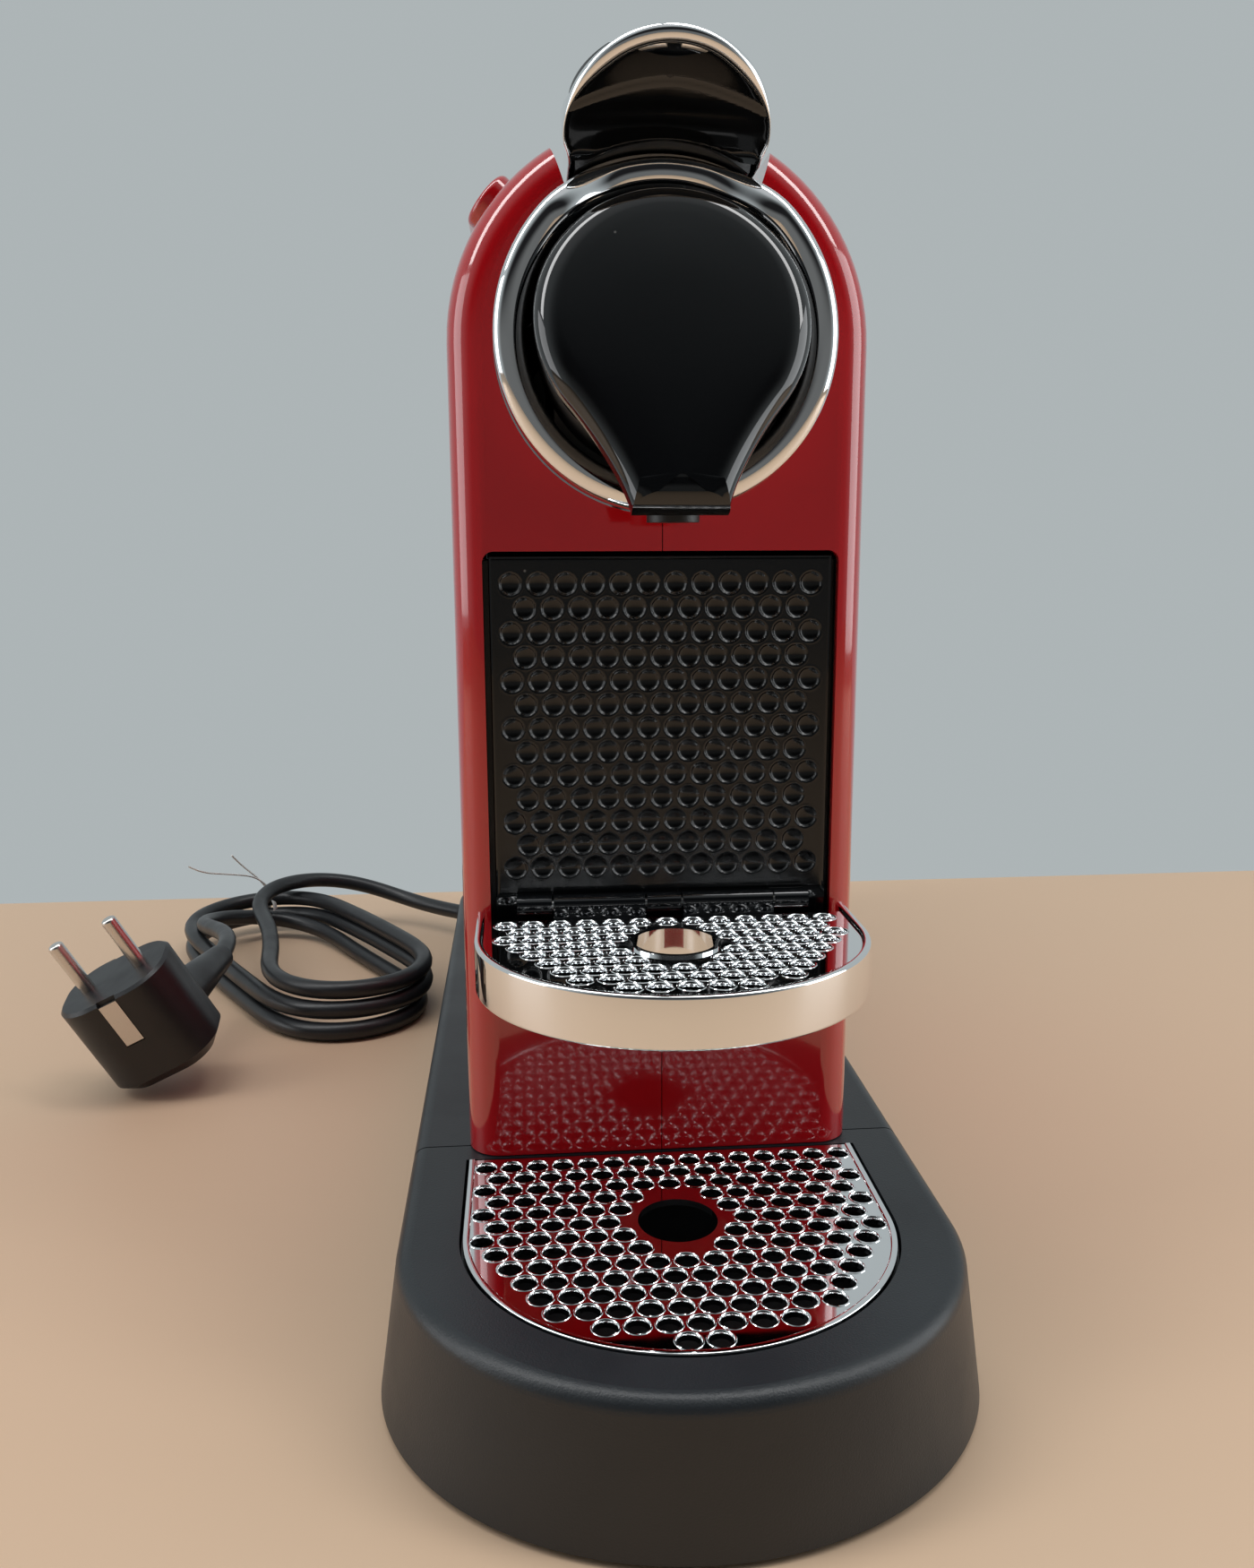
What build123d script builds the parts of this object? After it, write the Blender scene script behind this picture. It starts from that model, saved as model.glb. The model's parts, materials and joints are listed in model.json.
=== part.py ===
"""Pod coffee machine: arched body on a long base, lever-worked brew unit, folding cup shelf.

Frame: +X is the machine's right as seen from the front, -Y is the front, +Z is up. The origin is
at the bottom centre of the machine without its mains lead. All sizes are in millimetres.
"""

import math
import os

from build123d import *

os.makedirs("parts", exist_ok=True)

# ------------------------------------------------------------------ driving sizes
WALL = 2.5  # wall of the moulded shells
GAP = 0.4  # clearance between pieces on different bodies
FIT = 0.05  # radial clearance of a running shaft

# base
BASE_LENGTH = 372.0
BASE_HEIGHT = 33.0
BASE_HALF_BOTTOM = 65.0
BASE_HALF_TOP = 60.5
BASE_FRONT_DEPTH = 56.5  # depth of the elliptical front at the bottom
BASE_SET_BACK = 1.5  # how far the top outline stands behind the bottom one
BASE_CORNER = 48.0  # radius of the two rear corners
BASE_EDGE = 3.5  # rounding of the top edge
CASE_BOTTOM = 1.5
FOOT_RADIUS = 9.0

# body
BODY_HALF = 47.0
BODY_LENGTH = 191.5
BODY_SET_BACK = 92.5  # from the base's front to the body's front face
ARCH_Z = 222.0  # centre of the arched top, of the ring and of the brew unit
BODY_EDGE = 8.0

# drip tray in the base
GRID_HALF = 46.9
GRID_DEPTH = 77.2
GRID_ROUND = 43.7  # depth of the elliptical front
TRAY_DEPTH = 25.0
HOLE_PITCH = 6.1
HOLE_RADIUS = 2.5
SPOUT_HOLE_RADIUS = 8.8

# cup shelf
SHELF_TOP = 95.2
SHELF_HEIGHT = 11.2
SHELF_HALF = 43.3
SHELF_DEPTH = 60.0
SHELF_ROUND = 40.0
BAND_WALL = 1.8
PIN_RADIUS = 1.0
KNUCKLE_RADIUS = 2.2

# capsule container
OPENING_SIDE = 6.8  # red surround left and right of the container opening
OPENING_TOP = 177.5
PANEL_PLAY = 1.5  # from the opening's side to the panel
PANEL_HEIGHT = 78.0
PANEL_THICK = 3.0
DIMPLE_PITCH = 6.2
DIMPLE_ROW = 5.45
DIMPLE_RADIUS = 2.6
CONTAINER_LENGTH = 108.0
CONTAINER_WALL = 1.8

# head
RING_RADIUS = 36.5
RING_WIDTH = 6.6
RING_REACH = 11.0
RING_NOTCH = 6.0  # how far the ring's lip stands back under the lever
COVER_RADIUS = 29.0
COVER_TILT = 19.8
COVER_THICK = 6.5
COVER_BEVEL = 4.0
COVER_DROP = 39.0  # from the cover's round centre down to its tip
TIP_HALF = 9.7

# brew unit and lever
CAPSULE_ZONE = 32.0
PISTON_RADIUS = 17.2
PISTON_TRAVEL = 30.0
LEVER_ANGLE = 70.0  # how far the lever opens
PIVOT_DROP = 2.0  # pivot below the brew axis
ARM_THICK = 2.3
ARM_WIDTH = 9.0
ARM_INNER = 17.6
DECK_Z = 255.5
DECK_THICK = 2.5
TROUGH_HALF_LOW = 21.6
TROUGH_HALF_HIGH = 24.0
TROUGH_LENGTH = 113.5
HANDLE_HALF = 20.2
HANDLE_TIP_RISE = 55.0
HANDLE_REACH = 20.5

# buttons
PAD_LENGTH = 44.0
PAD_WIDTH = 13.0
PAD_PROUD = 3.2
PAD_ANGLE = 49.5
PAD_SET_BACK = 31.5
BUTTON_LENGTH = 15.0
BUTTON_WIDTH = 7.5
BUTTON_TRAVEL = 1.5

# water tank
TANK_HALF = 45.0
TANK_LENGTH = 80.0
TANK_HEIGHT = 194.0
TANK_WALL = 2.0
TANK_CORNER = 26.0

# mains lead
CORD_RADIUS = 3.4

# ------------------------------------------------------------------ places worked out from them
BASE_FRONT = -BASE_LENGTH / 2
BASE_REAR = BASE_LENGTH / 2
BASE_ROUND_Y = BASE_FRONT + BASE_FRONT_DEPTH
BODY_FRONT = BASE_FRONT + BODY_SET_BACK
BODY_REAR = BODY_FRONT + BODY_LENGTH
BODY_BOTTOM = BASE_HEIGHT + 0.3
SEAM_Y = BODY_FRONT + 6.5
SHELL_INNER = BODY_HALF - WALL
OPENING_HALF = BODY_HALF - OPENING_SIDE
PANEL_HALF = OPENING_HALF - PANEL_PLAY
PIVOT = (BODY_FRONT + 71.5, ARCH_Z - PIVOT_DROP)
TROUGH_REAR = BODY_FRONT + TROUGH_LENGTH


def at_y(y):
    """Plane facing the front at a distance y; its own x runs along X and its own y along Z."""
    return Plane.XZ.offset(-y)


def block(x, y, z, mode=Mode.ADD):
    """Box between three (low, high) pairs."""
    with Locations((sum(x) / 2, sum(y) / 2, sum(z) / 2)):
        Box(x[1] - x[0], y[1] - y[0], z[1] - z[0], mode=mode)


def rod(plane, centre, radius, length, mode=Mode.ADD):
    """Round bar that stands on a plane."""
    with BuildSketch(plane) as disc:
        with Locations(centre):
            Circle(radius)
    extrude(disc.sketch, amount=length, mode=mode)


def rod_y(centre, radius, low, high, mode=Mode.ADD):
    """Round bar along Y, at (x, z), from low to high."""
    rod(at_y(low), centre, radius, low - high, mode)


def rod_x(centre, radius, low, high, mode=Mode.ADD):
    """Round bar along X, at (y, z), from low to high."""
    rod(Plane.YZ.offset(low), centre, radius, high - low, mode)


def rod_z(centre, radius, low, high, mode=Mode.ADD):
    """Round bar along Z, at (x, y), from low to high."""
    rod(Plane.XY.offset(low), centre, radius, high - low, mode)


def d_face(half, front, rear, depth):
    """D-shaped outline: square at the rear, half an ellipse of the given depth at the front."""
    round_y = front + depth
    with BuildSketch(mode=Mode.PRIVATE) as face:
        with BuildLine():
            Polyline((half, round_y), (half, rear), (-half, rear), (-half, round_y))
            EllipticalCenterArc((0, round_y), half, depth, 180, arc_size=180)
        make_face()
    return face.sketch


def base_face(half, set_back, corner):
    """Base outline: elliptical front, straight sides, rounded rear corners."""
    rear = BASE_REAR - set_back
    depth = BASE_FRONT_DEPTH - set_back
    side = half - corner
    with BuildSketch(mode=Mode.PRIVATE) as face:
        with BuildLine():
            Line((half, BASE_ROUND_Y), (half, rear - corner))
            CenterArc((side, rear - corner), corner, 0, 90)
            Line((side, rear), (-side, rear))
            CenterArc((-side, rear - corner), corner, 90, 90)
            Line((-half, rear - corner), (-half, BASE_ROUND_Y))
            EllipticalCenterArc((0, BASE_ROUND_Y), half, depth, 180, arc_size=180)
        make_face()
    return face.sketch


def arch_face(half, bottom):
    """Arched body section: straight sides under half a circle."""
    with BuildSketch(mode=Mode.PRIVATE) as face:
        with Locations((0, (bottom + ARCH_Z) / 2)):
            Rectangle(2 * half, ARCH_Z - bottom)
        with Locations((0, ARCH_Z)):
            Circle(half)
    return face.sketch


def trough_face(low, high, bottom):
    """Section of the lever's trough: leaning sides from the deck up past the arch."""
    rise = BODY_HALF
    lean = (high - low) / 7.0
    with BuildSketch(mode=Mode.PRIVATE) as face:
        with BuildLine():
            top = (low + lean * (rise + bottom - DECK_Z), bottom + rise)
            foot = (low + lean * (bottom - DECK_Z), bottom)
            Polyline(foot, top, (-top[0], top[1]), (-foot[0], foot[1]), close=True)
        make_face()
    return face.sketch


def hole_spots(half, front, rear, depth, hole_y):
    """Centres of a staggered grid of holes inside a D, clear of its edge and its round hole."""
    margin = HOLE_RADIUS + 1.6
    round_y = front + depth
    row_pitch = HOLE_PITCH * math.sqrt(3) / 2
    spots = []
    for row in range(int((rear - front) / row_pitch)):
        y = rear - margin - row * row_pitch
        for column in range(-9, 10):
            x = (column + 0.5 * (row % 2)) * HOLE_PITCH
            reach = 1.0
            if y < round_y:
                reach = math.sqrt(max(0.0, 1 - ((round_y - y) / (depth - margin)) ** 2))
            clear = math.hypot(x, y - hole_y) > SPOUT_HOLE_RADIUS + 1.4 + HOLE_RADIUS
            if abs(x) <= (half - margin) * reach and clear:
                spots.append((x, y))
    return spots


def finish(part, name):
    """Label a finished piece and write it."""
    part.label = name
    export_step(part, f"parts/{name}.step")


# ------------------------------------------------------------------ base: shared forms
with BuildPart() as base_form:
    with BuildSketch(Plane.XY.offset(CASE_BOTTOM)):
        add(base_face(BASE_HALF_BOTTOM, 0, BASE_CORNER))
    with BuildSketch(Plane.XY.offset(BASE_HEIGHT)):
        add(base_face(BASE_HALF_TOP, BASE_SET_BACK, BASE_CORNER - BASE_SET_BACK))
    loft(ruled=True)
    fillet(base_form.faces().sort_by(Axis.Z)[-1].edges(), BASE_EDGE)

with BuildPart() as base_hollow:
    with BuildSketch(Plane.XY.offset(CASE_BOTTOM)):
        add(base_face(BASE_HALF_BOTTOM - WALL, WALL, BASE_CORNER - WALL))
    with BuildSketch(Plane.XY.offset(BASE_HEIGHT - WALL)):
        add(base_face(BASE_HALF_TOP - WALL, BASE_SET_BACK + WALL, BASE_CORNER - BASE_SET_BACK - WALL))
    loft(ruled=True)

with BuildPart() as front_hollow:
    add(base_hollow.part)
    split(bisect_by=at_y(SEAM_Y - GAP / 2 - WALL), keep=Keep.TOP)

# ------------------------------------------------------------------ drip base, tray and grid
GRID_REAR = BODY_FRONT - 2 * GAP - 0.3
GRID_FRONT = GRID_REAR - GRID_DEPTH
TRAY_HALF = GRID_HALF + 0.3
WELL_HALF = TRAY_HALF + GAP
WELL_FLOOR = BASE_HEIGHT - TRAY_DEPTH - 2.0
WELL_WALL = 2.2
GRID_THICK = 1.5
GRID_TOP = BASE_HEIGHT - 0.1
SPOUT_Y = BODY_FRONT - 32.0

with BuildPart() as drip_base:
    add(base_form.part)
    split(bisect_by=at_y(SEAM_Y - GAP / 2), keep=Keep.TOP)
    add(front_hollow.part, mode=Mode.SUBTRACT)
    with BuildSketch(Plane.XY.offset(WELL_FLOOR - WELL_WALL)):
        add(d_face(WELL_HALF + WELL_WALL, GRID_FRONT - 0.7 - WELL_WALL, GRID_REAR + GAP + WELL_WALL,
                   GRID_ROUND + 0.7 + WELL_WALL))
    extrude(amount=BASE_HEIGHT - WALL + 0.5 - WELL_FLOOR + WELL_WALL)
    with BuildSketch(Plane.XY.offset(WELL_FLOOR)):
        add(d_face(WELL_HALF, GRID_FRONT - 0.7, GRID_REAR + GAP, GRID_ROUND + 0.7))
    extrude(amount=BASE_HEIGHT, mode=Mode.SUBTRACT)
finish(drip_base.part, "drip_base")

with BuildPart() as drip_feet:
    with BuildSketch(Plane.XY):
        with Locations((-WELL_HALF * 0.62, GRID_FRONT + 40), (WELL_HALF * 0.62, GRID_FRONT + 40)):
            Circle(FOOT_RADIUS)
    extrude(amount=WELL_FLOOR - WELL_WALL)
    chamfer(drip_feet.faces().group_by(Axis.Z)[0].edges(), 0.6)
finish(drip_feet.part, "drip_feet")

with BuildPart() as drip_tray:
    with BuildSketch(Plane.XY.offset(WELL_FLOOR + GAP)):
        add(d_face(TRAY_HALF, GRID_FRONT - 0.3, GRID_REAR, GRID_ROUND + 0.3))
    extrude(amount=TRAY_DEPTH - 0.5)
    with BuildSketch(Plane.XY.offset(WELL_FLOOR + GAP + 1.6)):
        add(d_face(TRAY_HALF - 1.6, GRID_FRONT + 1.3, GRID_REAR - 1.6, GRID_ROUND - 1.3))
    extrude(amount=TRAY_DEPTH, mode=Mode.SUBTRACT)
finish(drip_tray.part, "drip_tray")

with BuildPart() as drip_grid:
    with BuildSketch(Plane.XY.offset(GRID_TOP - GRID_THICK)):
        add(d_face(GRID_HALF, GRID_FRONT, GRID_REAR, GRID_ROUND))
        with Locations((0, SPOUT_Y)):
            Circle(SPOUT_HOLE_RADIUS, mode=Mode.SUBTRACT)
        with Locations(*hole_spots(GRID_HALF, GRID_FRONT, GRID_REAR, GRID_ROUND, SPOUT_Y)):
            Circle(HOLE_RADIUS, mode=Mode.SUBTRACT)
    extrude(amount=GRID_THICK)
finish(drip_grid.part, "drip_grid")

# ------------------------------------------------------------------ base cover and bottom plate
TANK_FRONT = BODY_REAR + 2.2
VALVE_Y = TANK_FRONT + 20
GLAND_Z = 12.0
GLAND_RADIUS = 6.0
GLAND_LENGTH = 16.0
GLAND_TIP_RADIUS = 4.4
corner_x = -(BASE_HALF_BOTTOM - BASE_CORNER)
corner_y = BASE_REAR - BASE_CORNER
gland_dir = Vector(-1, 1, 0).normalized()
gland_plane = Plane(Vector(corner_x, corner_y, GLAND_Z), z_dir=gland_dir)
GLAND_START = BASE_CORNER - WALL - 7.5
GLAND_END = BASE_CORNER + GLAND_LENGTH
PLATE_THICK = 2.0
PLATE_Z = CASE_BOTTOM + 0.5
BOSSES = [(-44, SEAM_Y + 22), (44, SEAM_Y + 22), (-36, BASE_REAR - 30), (36, BASE_REAR - 30)]
SCREW_RADIUS = 1.5

with BuildPart() as base_cover:
    add(base_form.part)
    split(bisect_by=at_y(SEAM_Y + GAP / 2), keep=Keep.BOTTOM)
    add(base_hollow.part, mode=Mode.SUBTRACT)
    block((-BASE_HALF_TOP + 2, BASE_HALF_TOP - 2), (SEAM_Y + GAP / 2, SEAM_Y + GAP / 2 + WALL),
          (PLATE_Z + PLATE_THICK, BASE_HEIGHT - 1))
    with BuildSketch(Plane.XY.offset(PLATE_Z + PLATE_THICK)):
        with Locations(*BOSSES):
            Circle(4)
            Circle(SCREW_RADIUS, mode=Mode.SUBTRACT)
    extrude(amount=BASE_HEIGHT - WALL - PLATE_Z - PLATE_THICK + 0.5)
    rod(gland_plane.offset(GLAND_START + 2), (0, 0), GLAND_RADIUS, 18, Mode.SUBTRACT)
    rod_z((0, VALVE_Y), 8.0, BASE_HEIGHT - 8, BASE_HEIGHT + 1, Mode.SUBTRACT)
finish(base_cover.part, "base_cover")

with BuildPart() as base_plate:
    with BuildSketch(Plane.XY.offset(PLATE_Z)):
        add(base_face(BASE_HALF_BOTTOM - WALL - GAP, WALL + GAP, BASE_CORNER - WALL - GAP))
        with Locations(*BOSSES):
            Circle(SCREW_RADIUS, mode=Mode.SUBTRACT)
    extrude(amount=PLATE_THICK)
    split(bisect_by=at_y(SEAM_Y + GAP / 2 + WALL + GAP), keep=Keep.BOTTOM)
finish(base_plate.part, "base_plate")

FOOT_SPOTS = [(-42, SEAM_Y + 42), (42, SEAM_Y + 42), (-30, BASE_REAR - 46), (30, BASE_REAR - 46)]
with BuildPart() as base_feet:
    with BuildSketch(Plane.XY):
        with Locations(*FOOT_SPOTS):
            Circle(FOOT_RADIUS)
    extrude(amount=PLATE_Z)
    chamfer(base_feet.faces().group_by(Axis.Z)[0].edges(), 0.6)
finish(base_feet.part, "base_feet")

# ------------------------------------------------------------------ body shells
PANEL_BOTTOM = SHELF_TOP - SHELF_HEIGHT
RING_HOLE = RING_RADIUS + 0.2
pad_normal = Vector(-math.sin(math.radians(PAD_ANGLE)), 0, math.cos(math.radians(PAD_ANGLE)))
pad_centre = Vector(0, BODY_FRONT + PAD_SET_BACK, ARCH_Z) + pad_normal * BODY_HALF
pad_plane = Plane(pad_centre, x_dir=(0, 1, 0), z_dir=pad_normal)
TROUGH_WALL = 2.4

with BuildPart() as shell_form:
    with BuildSketch(at_y(BODY_FRONT)):
        add(arch_face(BODY_HALF, BODY_BOTTOM))
    extrude(amount=-BODY_LENGTH)
    front_edges = shell_form.faces().sort_by(Axis.Y)[0].edges()
    fillet(front_edges.sort_by(Axis.Z)[1:], BODY_EDGE)

with BuildPart() as trough_walls:
    with BuildSketch(at_y(BODY_FRONT)):
        add(trough_face(TROUGH_HALF_LOW + TROUGH_WALL, TROUGH_HALF_HIGH + TROUGH_WALL, DECK_Z - 2.3))
    extrude(amount=-(TROUGH_LENGTH + TROUGH_WALL))
    add(shell_form.part, mode=Mode.INTERSECT)

with BuildPart() as body_form:
    add(shell_form.part)
    with BuildSketch(at_y(BODY_FRONT + WALL)):
        add(arch_face(SHELL_INNER, BODY_BOTTOM - 1))
    extrude(amount=-BODY_LENGTH, mode=Mode.SUBTRACT)
    add(trough_walls.part)
    with BuildSketch(at_y(BODY_FRONT - 1)):
        add(trough_face(TROUGH_HALF_LOW, TROUGH_HALF_HIGH, DECK_Z - 6))
    extrude(amount=-(TROUGH_LENGTH + 1), mode=Mode.SUBTRACT)
    rod_y((0, ARCH_Z), RING_HOLE, BODY_FRONT - 1, BODY_FRONT + WALL + 1.5, Mode.SUBTRACT)
    rod_y((0, ARCH_Z), RING_RADIUS + 2.4, BODY_FRONT + WALL, BODY_FRONT + WALL + 2.7, Mode.SUBTRACT)
    with BuildSketch(at_y(BODY_FRONT - 1)):
        with Locations((0, (PANEL_BOTTOM + OPENING_TOP) / 2)):
            RectangleRounded(2 * OPENING_HALF, OPENING_TOP - PANEL_BOTTOM, 2.5)
    extrude(amount=-(WALL + 2), mode=Mode.SUBTRACT)

SEAM_GAP = 0.2
with BuildPart() as left_shell:
    add(body_form.part)
    split(bisect_by=Plane.YZ.offset(-SEAM_GAP / 2), keep=Keep.BOTTOM)
    with BuildSketch(pad_plane.offset(-6)):
        SlotOverall(PAD_LENGTH + 0.4, PAD_WIDTH + 0.4)
    extrude(amount=12, mode=Mode.SUBTRACT)
finish(left_shell.part, "left_shell")

with BuildPart() as right_shell:
    add(body_form.part)
    split(bisect_by=Plane.YZ.offset(SEAM_GAP / 2), keep=Keep.TOP)
finish(right_shell.part, "right_shell")

REAR_PANEL_THICK = 2.5
with BuildPart() as rear_panel:
    with BuildSketch(at_y(BODY_REAR - REAR_PANEL_THICK)):
        add(arch_face(SHELL_INNER - 0.1, BODY_BOTTOM))
        with Locations((0, BODY_BOTTOM + 16)):
            Circle(7, mode=Mode.SUBTRACT)
    extrude(amount=-REAR_PANEL_THICK)
    for rib in range(5):
        height = 80 + 26 * rib
        block((-30, 30), (BODY_REAR - REAR_PANEL_THICK - 2, BODY_REAR - REAR_PANEL_THICK),
              (height, height + 2))
finish(rear_panel.part, "rear_panel")

with BuildPart() as case_screws:
    for spot in BOSSES:
        rod_z(spot, SCREW_RADIUS, PLATE_Z, PLATE_Z + 14)
        rod_z(spot, 3.0, PLATE_Z - 1.4, PLATE_Z)
    for x in (-SHELL_INNER + 8.5, SHELL_INNER - 8.5):
        for z in (60, 200):
            rod_y((x, z), SCREW_RADIUS, BODY_REAR - REAR_PANEL_THICK - 9, BODY_REAR - REAR_PANEL_THICK)
            rod_y((x, z), 3.0, BODY_REAR - REAR_PANEL_THICK - 11, BODY_REAR - REAR_PANEL_THICK - 9)
finish(case_screws.part, "case_screws")

# ------------------------------------------------------------------ chrome ring, brow and outlet
brew_axis = Axis((0, 0, ARCH_Z), (0, 1, 0))
FLANGE_Y = BODY_FRONT + WALL
RING_INNER = RING_RADIUS - RING_WIDTH - 0.5
RING_TIP_Y = BODY_FRONT - RING_REACH
BROW_RADIUS = RING_RADIUS + 1.9
BROW_HALF_ANGLE = 29.0


def upper_sector():
    """Wedge above the brew axis, as wide as the brow."""
    reach = 2 * BODY_HALF
    swing = reach * math.tan(math.radians(BROW_HALF_ANGLE))
    with BuildSketch(mode=Mode.PRIVATE) as wedge:
        with BuildLine():
            Polyline((0, ARCH_Z), (swing, ARCH_Z + reach), (-swing, ARCH_Z + reach), close=True)
        make_face()
    return wedge.sketch


with BuildPart() as head_ring:
    with BuildSketch(Plane.YZ):
        with BuildLine():
            Polyline(
                (RING_TIP_Y, ARCH_Z + RING_RADIUS - 2.9),
                (RING_TIP_Y + 4.4, ARCH_Z + RING_INNER + 1.5),
                (RING_TIP_Y + 8.0, ARCH_Z + RING_INNER),
                (FLANGE_Y + 2.2, ARCH_Z + RING_INNER),
                (FLANGE_Y + 2.2, ARCH_Z + RING_RADIUS + 2),
                (FLANGE_Y + 0.1, ARCH_Z + RING_RADIUS + 2),
                (FLANGE_Y + 0.1, ARCH_Z + RING_RADIUS),
                (BODY_FRONT, ARCH_Z + RING_RADIUS),
                (RING_TIP_Y + 2.4, ARCH_Z + RING_RADIUS - 0.8),
            )
            ThreePointArc(
                (RING_TIP_Y + 2.4, ARCH_Z + RING_RADIUS - 0.8),
                (RING_TIP_Y + 0.6, ARCH_Z + RING_RADIUS - 1.5),
                (RING_TIP_Y, ARCH_Z + RING_RADIUS - 2.9),
            )
        make_face()
    revolve(axis=brew_axis)
    with BuildSketch(at_y(RING_TIP_Y - 1)):
        add(upper_sector())
    extrude(amount=-(RING_NOTCH + 1), mode=Mode.SUBTRACT)
finish(head_ring.part, "head_ring")

with BuildPart() as ring_brow:
    with BuildSketch(at_y(BODY_FRONT - 0.3)):
        with Locations((0, ARCH_Z)):
            Circle(BROW_RADIUS)
            Circle(RING_RADIUS + 0.15, mode=Mode.SUBTRACT)
        add(upper_sector(), mode=Mode.INTERSECT)
    extrude(amount=RING_REACH - RING_NOTCH + 0.4)
    fillet(ring_brow.edges().filter_by(Axis.Y), 0.6)
finish(ring_brow.part, "ring_brow")

cover_tilt = math.radians(COVER_TILT)
cover_origin = Vector(0, BODY_FRONT - 22.8, ARCH_Z + 0.7)
cover_plane = Plane(cover_origin, x_dir=(1, 0, 0),
                    z_dir=(0, -math.cos(cover_tilt), math.sin(cover_tilt)))


def drop_face(shrink):
    """Drop outline: a large round head whose flanks sweep inwards to a flat tip."""
    radius = COVER_RADIUS - shrink
    side = (radius * math.cos(math.radians(38)), -radius * math.sin(math.radians(38)))
    tip = (TIP_HALF - 0.6 * shrink, -COVER_DROP + shrink)
    with BuildSketch(mode=Mode.PRIVATE) as face:
        with BuildLine():
            CenterArc((0, 0), radius, -38, 256)
            slope = (-math.sin(math.radians(38)), -math.cos(math.radians(38)))
            Spline(side, tip, tangents=(slope, (-0.12, -1)), tangent_scalars=(1.0, 0.6))
            Spline((-side[0], side[1]), (-tip[0], tip[1]), tangents=((-slope[0], slope[1]), (0.12, -1)),
                   tangent_scalars=(1.0, 0.6))
            Line(tip, (-tip[0], tip[1]))
        make_face()
    return face.sketch


with BuildPart() as outlet_cover:
    with BuildSketch(cover_plane.offset(-COVER_THICK)):
        add(drop_face(0))
    extrude(amount=COVER_THICK)
    chamfer(outlet_cover.faces().sort_by(Axis(cover_origin, cover_plane.z_dir))[-1].edges(), COVER_BEVEL)
finish(outlet_cover.part, "outlet_cover")

HOUSING_RADIUS = RING_INNER - 2.2
with BuildPart() as outlet_housing:
    rod_y((0, ARCH_Z), HOUSING_RADIUS, BODY_FRONT - 40, FLANGE_Y + 2.7)
    split(bisect_by=cover_plane.offset(-COVER_THICK - 0.1), keep=Keep.BOTTOM)
    rod_y((0, ARCH_Z), 4.0, BODY_FRONT - 10, FLANGE_Y + 4, Mode.SUBTRACT)
    rod_z((0, BODY_FRONT - 17), 3.0, ARCH_Z - HOUSING_RADIUS - 2, ARCH_Z - 6, Mode.SUBTRACT)
finish(outlet_housing.part, "outlet_housing")

NOZZLE_Y = BODY_FRONT - 19.5
with BuildPart() as coffee_nozzle:
    low = ARCH_Z - HOUSING_RADIUS - 11.5
    rod_z((0, NOZZLE_Y), 5.5, low, ARCH_Z - HOUSING_RADIUS + 6)
    rod_y((0, ARCH_Z), HOUSING_RADIUS + 0.05, BODY_FRONT - 60, BODY_FRONT, Mode.SUBTRACT)
    rod_z((0, NOZZLE_Y), 2.0, low - 1, ARCH_Z, Mode.SUBTRACT)
    split(bisect_by=cover_plane.offset(-COVER_THICK - 0.1), keep=Keep.BOTTOM)
finish(coffee_nozzle.part, "coffee_nozzle")

# ------------------------------------------------------------------ brew unit
PLATE_Y = FLANGE_Y + 3.2  # front face of the brew frame's front plate
PLATE_T = 3.3
ZONE_FRONT = PLATE_Y + PLATE_T + 1.0
ZONE_REAR = ZONE_FRONT + CAPSULE_ZONE
PISTON_FRONT = ZONE_FRONT + 1.5
CAGE_DEPTH = 28.5
CAGE_REAR = PISTON_FRONT + CAGE_DEPTH + 3.5
ARM_OUTER = ARM_INNER + ARM_THICK
FRAME_INNER = ARM_OUTER + 0.7
FRAME_OUTER = FRAME_INNER + 3.0
FRAME_LOW = ARCH_Z - 26.0
FRAME_HIGH = DECK_Z - DECK_THICK - 1.9
half_swing = math.radians(LEVER_ANGLE / 2)
CRANK = PISTON_TRAVEL / (2 * math.sin(half_swing))
drive_spot = (PIVOT[0] - CRANK * math.sin(half_swing), PIVOT[1] + CRANK * math.cos(half_swing))
DRIVE_RADIUS = 2.0
YOKE_FRONT = drive_spot[0] - 6.0
YOKE_REAR = drive_spot[0] + 6.0
YOKE_INNER = ARM_INNER - 4.4
YOKE_OUTER = ARM_INNER - 0.4
YOKE_TOP = FRAME_HIGH - 0.6
SADDLE_TOP = ARCH_Z - PISTON_RADIUS - 0.3

with BuildPart() as brew_frame:
    for side in (-1, 1):
        walls = sorted((side * FRAME_INNER, side * FRAME_OUTER))
        block(walls, (PLATE_Y, PIVOT[0] + 36), (FRAME_LOW, FRAME_HIGH))
    block((-FRAME_OUTER, FRAME_OUTER), (PLATE_Y, PLATE_Y + PLATE_T), (FRAME_LOW, FRAME_HIGH))
    block((-FRAME_OUTER, FRAME_OUTER), (PIVOT[0] + 32.5, PIVOT[0] + 36), (FRAME_LOW, FRAME_HIGH))
    block((-FRAME_OUTER, FRAME_OUTER), (ZONE_REAR + 4, PIVOT[0] - 8), (SADDLE_TOP - 4, SADDLE_TOP))
    block((-ARM_INNER + 0.6, ARM_INNER - 0.6), (PIVOT[0] - 8, PIVOT[0] + 34), (SADDLE_TOP - 4, SADDLE_TOP))
    rod_y((0, ARCH_Z), PISTON_RADIUS + 0.2, PLATE_Y - 1, PLATE_Y + PLATE_T + 1, Mode.SUBTRACT)
    rod_y((0, ARCH_Z), 8.0, PIVOT[0] + 30, PIVOT[0] + 38, Mode.SUBTRACT)
    rod_x(PIVOT, 2.5, -FRAME_OUTER - 1, FRAME_OUTER + 1, Mode.SUBTRACT)
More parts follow.
